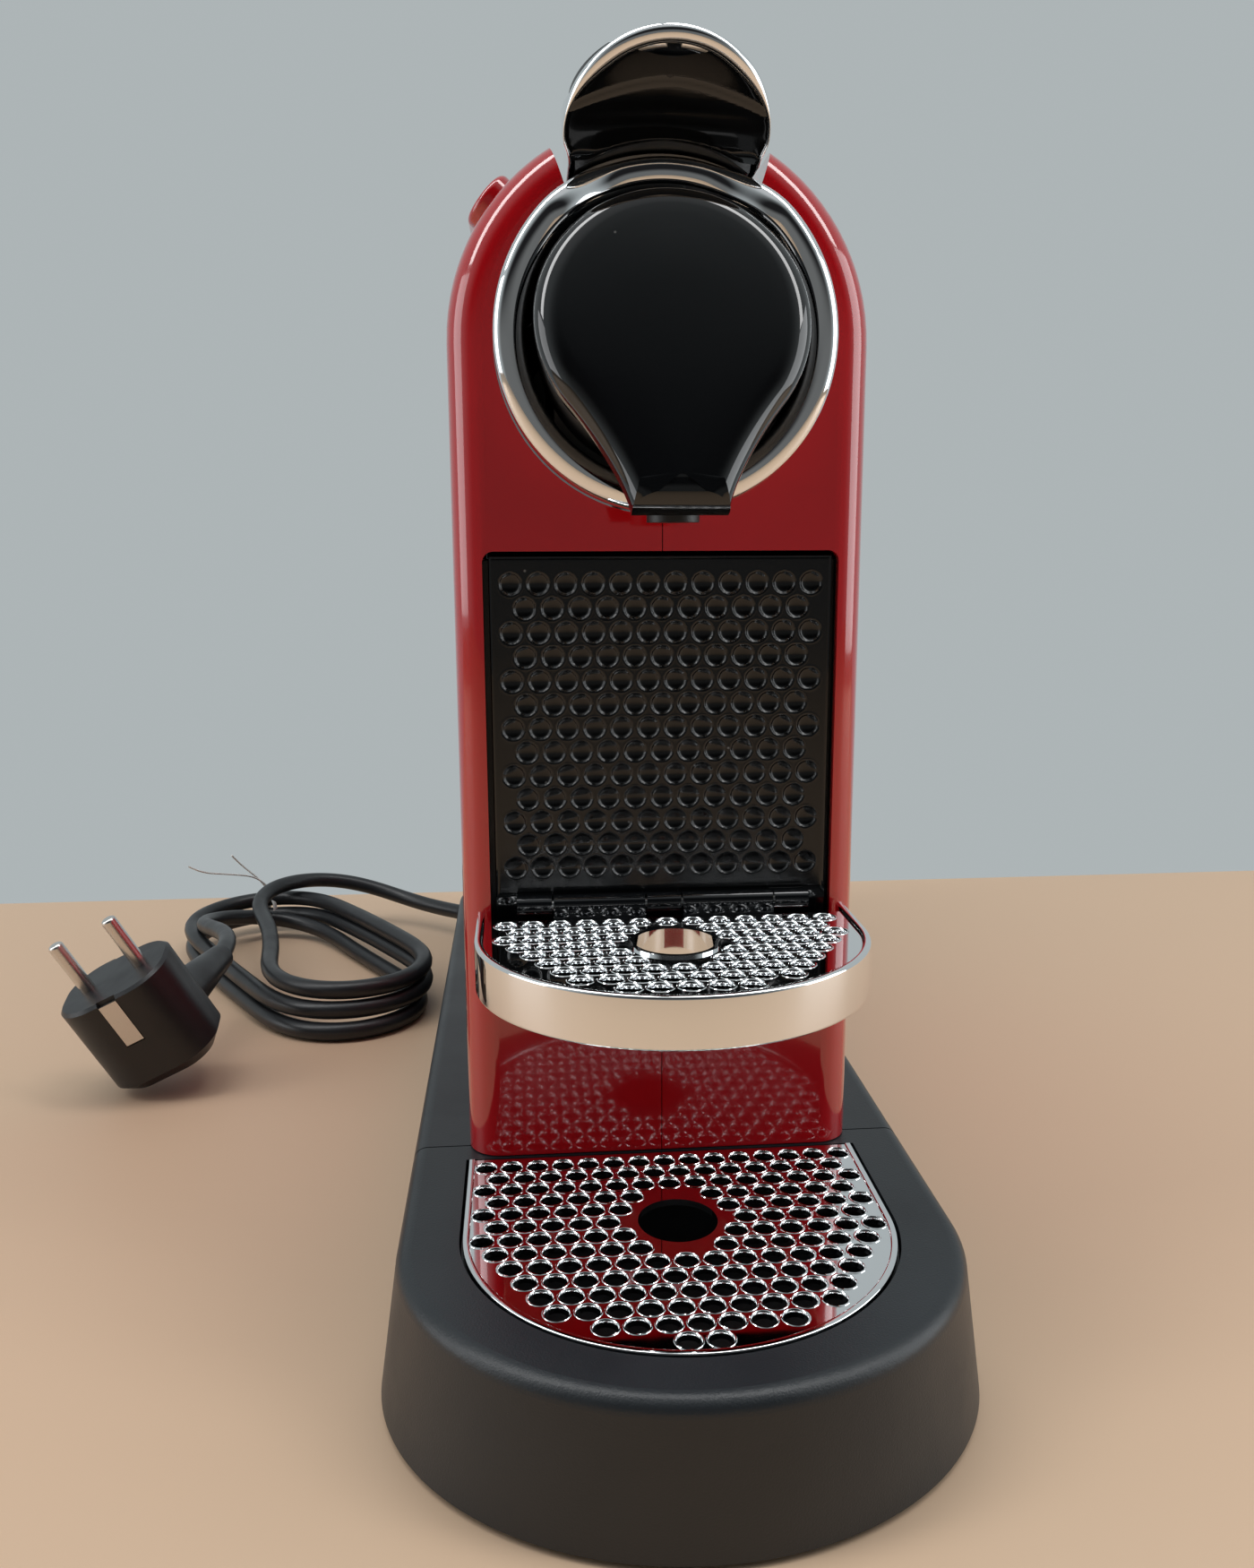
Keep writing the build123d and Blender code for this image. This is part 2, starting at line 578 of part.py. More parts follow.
finish(brew_frame.part, "brew_frame")

with BuildPart() as needle_plate:
    rod_y((0, ARCH_Z), PISTON_RADIUS + 0.2, PLATE_Y, PLATE_Y + 2.4)
    with BuildSketch(at_y(PLATE_Y + 2.4)):
        with Locations((0, ARCH_Z)):
            with GridLocations(5, 5, 4, 4):
                Rectangle(2.2, 2.2)
    extrude(amount=-1.2)
    rod_y((0, ARCH_Z), 1.2, PLATE_Y - 1, PLATE_Y + 5, Mode.SUBTRACT)
finish(needle_plate.part, "needle_plate")

with BuildPart() as brew_piston:
    rod_y((0, ARCH_Z), PISTON_RADIUS, PISTON_FRONT, CAGE_REAR)
    rod_y((0, ARCH_Z), PISTON_RADIUS - 2, PISTON_FRONT - 1, PISTON_FRONT + CAGE_DEPTH, Mode.SUBTRACT)
    block((-YOKE_OUTER, YOKE_OUTER), (YOKE_FRONT, YOKE_REAR), (ARCH_Z - 13, ARCH_Z + 13))
    if YOKE_FRONT > CAGE_REAR - 0.5:
        rod_y((0, ARCH_Z), 12.0, CAGE_REAR - 1, YOKE_FRONT + 1)
    for side in (-1, 1):
        cheek = sorted((side * YOKE_INNER, side * YOKE_OUTER))
        block(cheek, (YOKE_FRONT, YOKE_REAR), (ARCH_Z + 12, YOKE_TOP))
        with BuildSketch(Plane.YZ.offset(cheek[0] - 1)) as yoke_slot:
            low = drive_spot[1] - DRIVE_RADIUS - 0.5
            high = PIVOT[1] + CRANK + DRIVE_RADIUS + 0.4
            with Locations((drive_spot[0], (low + high) / 2)):
                Rectangle(2 * DRIVE_RADIUS + 1.3, high - low)
        extrude(amount=cheek[1] - cheek[0] + 2, mode=Mode.SUBTRACT)
finish(brew_piston.part, "brew_piston")

with BuildPart() as piercing_blades:
    for turn in (90, 210, 330):
        x = 5.5 * math.cos(math.radians(turn))
        z = 5.5 * math.sin(math.radians(turn))
        with Locations(Location((x, PISTON_FRONT + CAGE_DEPTH - 3, ARCH_Z + z), (90, 0, 0))):
            Cone(1.6, 0.2, 6)
finish(piercing_blades.part, "piercing_blades")

with BuildPart() as pivot_pins:
    rod_x(PIVOT, 2.5 - FIT, -FRAME_OUTER, -ARM_INNER + 0.1)
    rod_x(PIVOT, 2.5 - FIT, ARM_INNER - 0.1, FRAME_OUTER)
    rod_x(PIVOT, 2.5, -FRAME_OUTER, -FRAME_INNER)
    rod_x(PIVOT, 2.5, FRAME_INNER, FRAME_OUTER)
finish(pivot_pins.part, "pivot_pins")

with BuildPart() as drive_pins:
    rod_x(drive_spot, DRIVE_RADIUS, -ARM_OUTER, -YOKE_INNER + 0.2)
    rod_x(drive_spot, DRIVE_RADIUS, YOKE_INNER - 0.2, ARM_OUTER)
finish(drive_pins.part, "drive_pins")

# ------------------------------------------------------------------ deck under the lever
ARM_SWEEP = (DECK_Z - PIVOT[1]) * math.tan(half_swing) + ARM_WIDTH / 2 / math.cos(half_swing) + 1.4
ARM_SLOT_FRONT = PIVOT[0] - ARM_SWEEP
ARM_SLOT_REAR = PIVOT[0] + ARM_SWEEP
DECK_HALF = TROUGH_HALF_LOW - (TROUGH_HALF_HIGH - TROUGH_HALF_LOW) * DECK_THICK / 7.0 - 0.3
CAPSULE_HALF = 19.0
with BuildPart() as slot_frame:
    block((-DECK_HALF, DECK_HALF), (PLATE_Y + 0.4, TROUGH_REAR - 0.2), (DECK_Z - DECK_THICK, DECK_Z))
    block((-TROUGH_HALF_HIGH - 1.5, TROUGH_HALF_HIGH + 1.5), (PLATE_Y + 0.4, TROUGH_REAR + 2),
          (DECK_Z - DECK_THICK - 1.5, DECK_Z - DECK_THICK))
    block((-CAPSULE_HALF, CAPSULE_HALF), (ZONE_FRONT - 0.5, ZONE_REAR - 0.5), (DECK_Z - 6, DECK_Z + 1),
          Mode.SUBTRACT)
    for side in (-1, 1):
        arm_slot = sorted((side * (ARM_INNER - 0.7), side * (ARM_OUTER + 0.4)))
        block(arm_slot, (ARM_SLOT_FRONT, ARM_SLOT_REAR), (DECK_Z - 6, DECK_Z + 1), Mode.SUBTRACT)
finish(slot_frame.part, "slot_frame")

# ------------------------------------------------------------------ lever
HANDLE_REAR = PIVOT[0] - 28.0
HANDLE_LOW = DECK_Z + 1.0
TIP_Y = BODY_FRONT - HANDLE_REACH
TIP_Z = ARCH_Z + HANDLE_TIP_RISE
CREST_Z = ARCH_Z + BODY_HALF + 1.2
FACE_LEAN = 46.0  # the underside's slope at the tip, in degrees
slope_run = 1 / math.tan(math.radians(FACE_LEAN))
FACE_FOOT_Y = TIP_Y + (TIP_Z - 1.5 - HANDLE_LOW) * slope_run
tongue_origin = Vector(0, FACE_FOOT_Y, HANDLE_LOW)
lean = math.radians(FACE_LEAN)
tongue_plane = Plane(tongue_origin, x_dir=(-1, 0, 0), z_dir=(0, -math.sin(lean), -math.cos(lean)))
TONGUE_LENGTH = (TIP_Z - HANDLE_LOW) / math.sin(lean)
HANDLE_SKIN = 1.6


def handle_side(inset):
    """Side profile of the lever's handle, drawn on Y and Z, with its top lowered by inset."""
    foot = (FACE_FOOT_Y, HANDLE_LOW)
    tip = (TIP_Y + inset * 1.4, TIP_Z - 1.5 - inset * 1.2)
    crown = (TIP_Y + 2.5 + inset * 1.2, TIP_Z - inset * 1.3)
    mid = (TIP_Y + 16, CREST_Z + 1.4 - inset)
    flat = (TIP_Y + 34, CREST_Z - inset)
    rear_top = (HANDLE_REAR - inset, CREST_Z - 0.3 - inset)
    rear_low = (HANDLE_REAR - inset, HANDLE_LOW)
    with BuildSketch(Plane.YZ.offset(-BODY_HALF), mode=Mode.PRIVATE) as face:
        with BuildLine():
            Polyline(flat, rear_top, rear_low, foot, tip, crown)
            ThreePointArc(crown, mid, flat)
        make_face()
    return face.sketch


def handle_tongue(inset):
    """Plan of the handle seen square to its underside: a long tongue with a round end."""
    half = HANDLE_HALF - inset
    wide = half + 1.4
    belly = TONGUE_LENGTH - wide * 0.98
    with BuildSketch(mode=Mode.PRIVATE) as face:
        with BuildLine():
            Polyline((-half, -4), (-half, 90), (half, 90), (half, -4))
            Line((half, -4), (wide, -belly))
            EllipticalCenterArc((0, -belly), wide, TONGUE_LENGTH - inset - belly, 180, arc_size=180)
            Line((-wide, -belly), (-half, -4))
        make_face()
    return face.sketch


with BuildPart() as handle_form:
    extrude(handle_side(0), amount=2 * BODY_HALF)
    with BuildSketch(tongue_plane.offset(80)):
        add(handle_tongue(0))
    extrude(amount=-200, mode=Mode.INTERSECT)
    rod_y((0, ARCH_Z), BROW_RADIUS + 0.6, BODY_FRONT - 20, PLATE_Y + 1.5, Mode.SUBTRACT)

with BuildPart() as liner_form:
    extrude(handle_side(HANDLE_SKIN), amount=2 * BODY_HALF)
    with BuildSketch(tongue_plane.offset(80)):
        add(handle_tongue(HANDLE_SKIN))
    extrude(amount=-200, mode=Mode.INTERSECT)
    rod_y((0, ARCH_Z), BROW_RADIUS + 0.6, BODY_FRONT - 20, PLATE_Y + 1.5, Mode.SUBTRACT)

UNDER_THICK = 2.0
face_cut = Plane(tongue_origin, z_dir=tongue_plane.z_dir).offset(-UNDER_THICK)
with BuildPart() as lever_handle:
    add(handle_form.part)
    add(liner_form.part, mode=Mode.SUBTRACT)
finish(lever_handle.part, "lever_handle")

with BuildPart() as lever_underside:
    add(liner_form.part)
    split(bisect_by=face_cut, keep=Keep.TOP)
finish(lever_underside.part, "lever_underside")

arm_lean = math.radians(90 - LEVER_ANGLE / 2)
ARM_LENGTH = (CREST_Z - 5 - PIVOT[1]) / math.sin(arm_lean)
arm_mid = (PIVOT[0] - ARM_LENGTH / 2 * math.cos(arm_lean), PIVOT[1] + ARM_LENGTH / 2 * math.sin(arm_lean))
arm_tip = (PIVOT[0] - ARM_LENGTH * math.cos(arm_lean), PIVOT[1] + ARM_LENGTH * math.sin(arm_lean))
with BuildPart() as arm_form:
    for side in (-1, 1):
        start = side * ARM_INNER if side > 0 else -ARM_OUTER
        with BuildSketch(Plane.YZ.offset(start)) as arm_face:
            with Locations(PIVOT):
                Circle(6.5)
            with Locations(arm_tip):
                Circle(ARM_WIDTH / 2)
            with Locations(Location((arm_mid[0], arm_mid[1], 0), (0, 0, 180 - math.degrees(arm_lean)))):
                Rectangle(ARM_LENGTH, ARM_WIDTH)
        extrude(amount=ARM_THICK)
with BuildPart() as lever_frame:
    add(liner_form.part)
    split(bisect_by=face_cut, keep=Keep.BOTTOM)
    block((-HANDLE_HALF + 6, HANDLE_HALF - 6), (FACE_FOOT_Y + 14, HANDLE_REAR - 10),
          (HANDLE_LOW - 1, CREST_Z - HANDLE_SKIN - 3), Mode.SUBTRACT)
    add(arm_form.part)
    add(lever_handle.part, mode=Mode.SUBTRACT)
    rod_x(PIVOT, 2.5, -ARM_OUTER - 1, ARM_OUTER + 1, Mode.SUBTRACT)
    rod_x(drive_spot, DRIVE_RADIUS, -ARM_OUTER - 1, ARM_OUTER + 1, Mode.SUBTRACT)
finish(lever_frame.part, "lever_frame")

# ------------------------------------------------------------------ buttons
BUTTON_SPACING = 19.0
BUTTON_ROOT = -3.4
with BuildPart() as button_pad:
    with BuildSketch(pad_plane.offset(BUTTON_ROOT)):
        SlotOverall(PAD_LENGTH, PAD_WIDTH)
    extrude(amount=PAD_PROUD - BUTTON_ROOT)
    fillet(button_pad.faces().sort_by(Axis(pad_centre, pad_normal))[-1].edges(), 1.4)
    for along in (-BUTTON_SPACING / 2, BUTTON_SPACING / 2):
        with BuildSketch(pad_plane.offset(BUTTON_ROOT - 1)):
            with Locations((along, 0)):
                SlotOverall(BUTTON_LENGTH + 2 * GAP, BUTTON_WIDTH + 2 * GAP)
        extrude(amount=PAD_PROUD - BUTTON_ROOT + 2, mode=Mode.SUBTRACT)
finish(button_pad.part, "button_pad")


def button(along):
    """One oval coffee button, rounded at its top edge."""
    with BuildPart(mode=Mode.PRIVATE) as cap:
        with BuildSketch(pad_plane.offset(BUTTON_ROOT)):
            with Locations((along, 0)):
                SlotOverall(BUTTON_LENGTH, BUTTON_WIDTH)
        extrude(amount=PAD_PROUD + 0.8 - BUTTON_ROOT)
        fillet(cap.faces().sort_by(Axis(pad_centre, pad_normal))[-1].edges(), 0.7)
    return cap.part


with BuildPart() as espresso_button:
    add(button(-BUTTON_SPACING / 2))
finish(espresso_button.part, "espresso_button")

with BuildPart() as lungo_button:
    add(button(BUTTON_SPACING / 2))
finish(lungo_button.part, "lungo_button")

BOARD_DEPTH = BUTTON_ROOT - BUTTON_TRAVEL - 4.0
with BuildPart() as button_board:
    with BuildSketch(pad_plane.offset(BOARD_DEPTH)):
        Rectangle(PAD_LENGTH, 10)
    extrude(amount=1.6)
    with BuildSketch(pad_plane.offset(BOARD_DEPTH + 1.6)):
        with Locations((-BUTTON_SPACING / 2, 0), (BUTTON_SPACING / 2, 0)):
            Rectangle(6, 6)
    extrude(amount=2.0)
finish(button_board.part, "button_board")

# ------------------------------------------------------------------ capsule container
PANEL_Z = OPENING_TOP - 1.2 - PANEL_HEIGHT
BEAM_LOW = PANEL_BOTTOM + 0.9
PANEL_Y = BODY_FRONT + 1.0
HINGE = (BODY_FRONT - 2.7, SHELF_TOP + 1.8)
KNUCKLES_FIXED = [(-34, -26), (-4, 4), (26, 34)]
KNUCKLES_SHELF = [(-25.6, -4.4), (4.4, 25.6)]
CONTAINER_Z = BEAM_LOW + 3.0
CONTAINER_TOP = OPENING_TOP - 5.0


def dimple_spots():
    """Centres of the panel's staggered dimples, in thirteen rows."""
    spots = []
    for row in range(13):
        z = PANEL_Z + PANEL_HEIGHT - 6.0 - row * DIMPLE_ROW
        count = 12 - row % 2
        spots += [((column - (count - 1) / 2) * DIMPLE_PITCH, z) for column in range(count)]
    return spots


with BuildPart() as container_front:
    block((-PANEL_HALF, PANEL_HALF), (PANEL_Y, PANEL_Y + PANEL_THICK), (PANEL_Z - 0.5, PANEL_Z + PANEL_HEIGHT))
    block((-OPENING_HALF + 1.3, OPENING_HALF - 1.3), (BODY_FRONT + 0.5, PANEL_Y + PANEL_THICK),
          (BEAM_LOW, PANEL_Z))
    for low, high in KNUCKLES_FIXED:
        rod_x(HINGE, KNUCKLE_RADIUS, low, high)
        block((low, high), (HINGE[0], BODY_FRONT + 1), (HINGE[1] - 1.2, HINGE[1] + 1.2))
    rod_x(HINGE, PIN_RADIUS, -36, 36, Mode.SUBTRACT)
    with BuildSketch(at_y(PANEL_Y)):
        with Locations(*dimple_spots()):
            Circle(DIMPLE_RADIUS)
    extrude(amount=-1.3, mode=Mode.SUBTRACT)
finish(container_front.part, "container_front")

box_half = PANEL_HALF - 0.3
box_front = PANEL_Y + PANEL_THICK
with BuildPart() as capsule_container:
    block((-box_half, box_half), (box_front, box_front + CONTAINER_LENGTH), (CONTAINER_Z, CONTAINER_TOP))
    block((-box_half + CONTAINER_WALL, box_half - CONTAINER_WALL),
          (box_front + CONTAINER_WALL, box_front + CONTAINER_LENGTH - CONTAINER_WALL),
          (CONTAINER_Z + CONTAINER_WALL, CONTAINER_TOP + 1), Mode.SUBTRACT)
finish(capsule_container.part, "capsule_container")

bay_half = box_half + GAP + 0.2
bay_low = CONTAINER_Z - GAP
with BuildPart() as container_bay:
    block((-bay_half - 1.8, bay_half + 1.8), (FLANGE_Y + 0.2, box_front + CONTAINER_LENGTH + 3),
          (bay_low - 2, CONTAINER_TOP + 3))
    block((-bay_half, bay_half), (FLANGE_Y - 1, box_front + CONTAINER_LENGTH + 1),
          (bay_low, CONTAINER_TOP + 5), Mode.SUBTRACT)
    block((-OPENING_HALF, OPENING_HALF), (FLANGE_Y - 1, box_front + 0.6), (bay_low - 3, CONTAINER_TOP + 5),
          Mode.SUBTRACT)
finish(container_bay.part, "container_bay")

# ------------------------------------------------------------------ folding cup shelf
SHELF_LOW = SHELF_TOP - SHELF_HEIGHT
SHELF_FRONT = BODY_FRONT - SHELF_DEPTH
SHELF_REAR = BODY_FRONT - 0.5
SHELF_HOLE_Y = BODY_FRONT - 25.3
tray_half = SHELF_HALF - BAND_WALL - 0.1
tray_front = SHELF_FRONT + BAND_WALL + 0.1
tray_round = SHELF_ROUND - BAND_WALL - 0.1
tray_rear = HINGE[0] - KNUCKLE_RADIUS - GAP

with BuildPart() as shelf_band:
    with BuildSketch(Plane.XY.offset(SHELF_LOW)):
        add(d_face(SHELF_HALF, SHELF_FRONT, SHELF_REAR, SHELF_ROUND))
        add(d_face(SHELF_HALF - BAND_WALL, SHELF_FRONT + BAND_WALL, SHELF_REAR + 5, SHELF_ROUND - BAND_WALL),
            mode=Mode.SUBTRACT)
    extrude(amount=SHELF_HEIGHT)
finish(shelf_band.part, "shelf_band")

with BuildPart() as shelf_tray:
    with BuildSketch(Plane.XY.offset(SHELF_LOW + 0.6)):
        add(d_face(tray_half, tray_front, tray_rear, tray_round))
    extrude(amount=SHELF_HEIGHT - 3.0)
    with BuildSketch(Plane.XY.offset(SHELF_LOW + 2.4)):
        add(d_face(tray_half - 1.5, tray_front + 1.5, tray_rear - 1.5, tray_round - 1.5))
    extrude(amount=SHELF_HEIGHT, mode=Mode.SUBTRACT)
    rod_z((0, SHELF_HOLE_Y), SPOUT_HOLE_RADIUS + 1.1, SHELF_LOW, SHELF_TOP, Mode.SUBTRACT)
    for low, high in KNUCKLES_SHELF:
        rod_x(HINGE, KNUCKLE_RADIUS, low, high)
        block((low, high), (tray_rear - 1.5, HINGE[0]), (SHELF_TOP - 5.5, HINGE[1]))
    rod_x(HINGE, PIN_RADIUS + FIT, -36, 36, Mode.SUBTRACT)
    block((-tray_half, tray_half), (tray_front, tray_rear - 0.2), (SHELF_TOP - 2.4, SHELF_TOP + 3),
          Mode.SUBTRACT)
finish(shelf_tray.part, "shelf_tray")

with BuildPart() as shelf_grid:
    with BuildSketch(Plane.XY.offset(SHELF_TOP - 2.3)):
        add(d_face(tray_half, tray_front, tray_rear - 0.3, tray_round))
        with Locations((0, SHELF_HOLE_Y)):
            Circle(SPOUT_HOLE_RADIUS + 1.1, mode=Mode.SUBTRACT)
        with Locations(*hole_spots(tray_half, tray_front, tray_rear - 0.3, tray_round, SHELF_HOLE_Y)):
            Circle(HOLE_RADIUS, mode=Mode.SUBTRACT)
    extrude(amount=1.4)
finish(shelf_grid.part, "shelf_grid")

with BuildPart() as shelf_grommet:
    with BuildSketch(Plane.XY.offset(SHELF_LOW + 0.6)):
        with Locations((0, SHELF_HOLE_Y)):
            Circle(SPOUT_HOLE_RADIUS + 1.1)
            Circle(SPOUT_HOLE_RADIUS, mode=Mode.SUBTRACT)
    extrude(amount=SHELF_HEIGHT - 1.0)
finish(shelf_grommet.part, "shelf_grommet")

with BuildPart() as shelf_pin:
    rod_x(HINGE, PIN_RADIUS, -34, 34)
finish(shelf_pin.part, "shelf_pin")

# ------------------------------------------------------------------ boiler, pump and water path
BOILER = ((-27, 27), (PIVOT[0] + 70, PIVOT[0] + 112), (ARCH_Z - 36, ARCH_Z + 16))
with BuildPart() as boiler:
    block(*BOILER)
    fillet(boiler.edges().filter_by(Axis.Y), 8)
    rod_y((0, ARCH_Z), 5.0, PIVOT[0] + 46, BOILER[1][0] + 1)
finish(boiler.part, "boiler")

with BuildPart() as thermostats:
    rod_z((-12, sum(BOILER[1]) / 2), 7.5, BOILER[2][1], BOILER[2][1] + 6)
    rod_z((12, sum(BOILER[1]) / 2), 7.5, BOILER[2][1], BOILER[2][1] + 6)
finish(thermostats.part, "thermostats")

PUMP_Z = BODY_BOTTOM + 26.0
PUMP_Y = (BODY_FRONT + 40, BODY_FRONT + 112)
with BuildPart() as pump:
    rod_y((0, PUMP_Z), 11.5, PUMP_Y[0], PUMP_Y[1])
    block((-20, 20), (PUMP_Y[0] + 14, PUMP_Y[0] + 48), (PUMP_Z - 18, PUMP_Z + 18))
    rod_y((0, PUMP_Z), 4.0, PUMP_Y[1], PUMP_Y[1] + 9)
finish(pump.part, "pump")

with BuildPart() as pump_mounts:
    for y in (PUMP_Y[0] + 5, PUMP_Y[1] - 7):
        block((-15, 15), (y - 4, y + 4), (BODY_BOTTOM - 0.3, PUMP_Z))
    rod_y((0, PUMP_Z), 11.5, PUMP_Y[0] - 5, PUMP_Y[1] + 5, Mode.SUBTRACT)
finish(pump_mounts.part, "pump_mounts")

METER = (24.0, BODY_REAR - 32)
with BuildPart() as flow_meter:
    rod_z(METER, 13, BODY_BOTTOM - 0.3, BODY_BOTTOM + 18)
    rod_z(METER, 3.5, BODY_BOTTOM + 18, BODY_BOTTOM + 24)
finish(flow_meter.part, "flow_meter")

DOCK_Z = BASE_HEIGHT
DOCK_THICK = 2.7
with BuildPart() as tank_dock:
    block((-30, 30), (TANK_FRONT + 2, TANK_FRONT + TANK_LENGTH - 12), (DOCK_Z, DOCK_Z + DOCK_THICK))
    rod_z((0, VALVE_Y), 9.0, DOCK_Z - 10, DOCK_Z + DOCK_THICK + 3)
    rod_z((0, VALVE_Y), 6.5, DOCK_Z - 8, DOCK_Z + DOCK_THICK + 4, Mode.SUBTRACT)
    block((-40, 40), (BODY_REAR, TANK_FRONT + TANK_LENGTH), (DOCK_Z - 12, DOCK_Z), Mode.SUBTRACT)
finish(tank_dock.part, "tank_dock")


def hose(points, radii, radius):
    """Tube along straight runs joined by tangent arcs."""
    with BuildPart(mode=Mode.PRIVATE) as tube:
        with BuildLine() as path:
            FilletPolyline(*points, radius=radii)
        with BuildSketch(Plane(path.line @ 0, z_dir=path.line % 0)):
            Circle(radius)
        sweep(path=path.line)
    return tube.part


hose_x = METER[0]
with BuildPart() as inlet_hose:
    add(hose([(hose_x, METER[1], BODY_BOTTOM + 24), (hose_x, METER[1], BODY_BOTTOM + 36),
              (hose_x - 18, METER[1] - 8, BODY_BOTTOM + 40), (0, PUMP_Y[1] + 24, PUMP_Z),
              (0, PUMP_Y[1] + 9, PUMP_Z)], [5, 6, 6], 2.5))
finish(inlet_hose.part, "inlet_hose")

BOARD_X = -SHELL_INNER + 3
pressure_path = [(30, BODY_REAR - 60, PUMP_Z), (30, BODY_REAR - 38, PUMP_Z), (30, BODY_REAR - 30, PUMP_Z + 24),
                 (30, BODY_REAR - 30, ARCH_Z - 64), (20, BODY_REAR - 30, ARCH_Z - 50),
                 (20, BODY_REAR - 30, ARCH_Z - 36)]
with BuildPart() as pressure_hose:
    add(hose(pressure_path, [9, 9, 9, 9], 2.0))
finish(pressure_hose.part, "pressure_hose")

with BuildPart() as control_board:
    block((BOARD_X, BOARD_X + 1.6), (BODY_REAR - 74, BODY_REAR - 8), (60, 160))
    block((BOARD_X + 1.6, BOARD_X + 14), (BODY_REAR - 66, BODY_REAR - 44), (70, 92))
    block((BOARD_X + 1.6, BOARD_X + 12), (BODY_REAR - 34, BODY_REAR - 16), (72, 100))
    block((BOARD_X + 1.6, BOARD_X + 7), (BODY_REAR - 60, BODY_REAR - 30), (120, 140))
finish(control_board.part, "control_board")

# ------------------------------------------------------------------ water tank
TANK_LOW = DOCK_Z + DOCK_THICK + GAP
TANK_REAR = TANK_FRONT + TANK_LENGTH
TANK_TOP = TANK_LOW + TANK_HEIGHT


def tank_face(inset):
    """Tank plan: square at the front, rounded rear corners."""
    half = TANK_HALF - inset
    front = TANK_FRONT + inset
    rear = TANK_REAR - inset
    corner = TANK_CORNER - inset
    with BuildSketch(mode=Mode.PRIVATE) as face:
        with BuildLine():
            Polyline((half, rear - corner), (half, front), (-half, front), (-half, rear - corner))
            CenterArc((-half + corner, rear - corner), corner, 90, 90)
            Line((-half + corner, rear), (half - corner, rear))
            CenterArc((half - corner, rear - corner), corner, 0, 90)
        make_face()
    return face.sketch


with BuildPart() as water_tank:
    with BuildSketch(Plane.XY.offset(TANK_LOW)):
        add(tank_face(0))
    extrude(amount=TANK_HEIGHT)
    with BuildSketch(Plane.XY.offset(TANK_LOW + TANK_WALL)):
        add(tank_face(TANK_WALL))
    extrude(amount=TANK_HEIGHT, mode=Mode.SUBTRACT)
    rod_z((0, VALVE_Y), 5.5, TANK_LOW - 1, TANK_LOW + TANK_WALL + 1, Mode.SUBTRACT)
    rod_z((0, VALVE_Y), 9.0 + GAP, TANK_LOW - 1, TANK_LOW + 1.0, Mode.SUBTRACT)
    rod_z((0, VALVE_Y), 12.0, TANK_LOW + TANK_WALL, TANK_LOW + TANK_WALL + 3)
    rod_z((0, VALVE_Y), 9.0 + GAP, TANK_LOW - 1, TANK_LOW + 3.2, Mode.SUBTRACT)
    rod_z((0, VALVE_Y), 5.5, TANK_LOW, TANK_LOW + 8, Mode.SUBTRACT)
finish(water_tank.part, "water_tank")

with BuildPart() as tank_valve:
    rod_z((0, VALVE_Y), 5.5, TANK_LOW - 4, TANK_LOW + 12)
    rod_z((0, VALVE_Y), 8.0, TANK_LOW + TANK_WALL + 3, TANK_LOW + TANK_WALL + 5)
finish(tank_valve.part, "tank_valve")

LID_THICK = 3.0
LID_HINGE = (TANK_FRONT + 4.0, TANK_TOP + 0.4 + LID_THICK / 2)
with BuildPart() as tank_lid:
    with BuildSketch(Plane.XY.offset(TANK_TOP + GAP)):
        add(tank_face(0))
    extrude(amount=LID_THICK)
    fillet(tank_lid.faces().sort_by(Axis.Z)[-1].edges(), 1.2)
    with BuildSketch(Plane.XY.offset(TANK_TOP + GAP)):
        with Locations((0, TANK_REAR - 20)):
            Circle(8)
    extrude(amount=LID_THICK + 1, mode=Mode.SUBTRACT)
    block((-TANK_HALF - 1, TANK_HALF + 1), (TANK_FRONT - 1, TANK_FRONT + 9), (TANK_TOP, TANK_TOP + 9),
          Mode.SUBTRACT)
    rod_x(LID_HINGE, 1.5, -30, 30)
    block((-30, 30), (LID_HINGE[0], TANK_FRONT + 10), (TANK_TOP + GAP, TANK_TOP + GAP + LID_THICK - 0.8))
finish(tank_lid.part, "tank_lid")

with BuildPart() as tank_bridge:
    block((-TANK_HALF, TANK_HALF), (TANK_FRONT, TANK_FRONT + 8.6), (TANK_TOP, TANK_TOP + GAP + LID_THICK))
    block((-30.4, 30.4), (TANK_FRONT - 1, TANK_FRONT + 10), (TANK_TOP - 1, TANK_TOP + 9), Mode.SUBTRACT)
finish(tank_bridge.part, "tank_bridge")

# ------------------------------------------------------------------ mains lead
with BuildPart() as cord_gland:
    rod(gland_plane.offset(GLAND_START), (0, 0), GLAND_RADIUS + 1.7, 2)
    rod(gland_plane.offset(GLAND_START + 2), (0, 0), GLAND_RADIUS, GLAND_END - GLAND_START - 2 - GLAND_LENGTH + 2)
    with BuildSketch(gland_plane.offset(GLAND_END - GLAND_LENGTH + 1.9)):
        Circle(GLAND_RADIUS)
    with BuildSketch(gland_plane.offset(GLAND_END)):
        Circle(GLAND_TIP_RADIUS)
    loft()
finish(cord_gland.part, "cord_gland")

gland_tip = gland_plane.origin + gland_dir * GLAND_END
LEAD = [(gland_tip.X, gland_tip.Y, gland_tip.Z), (-78, 198, 8.5), (-97, 213, 6.3), (-119, 217, 8.5),
        (-140, 208, 12.0)]
TAIL = [(-161, 168, 15.0), (-159, 148, 20.5), (-152, 127, 25.0), (-148, 105, 27.0), (-148.6, 86, 26.4)]


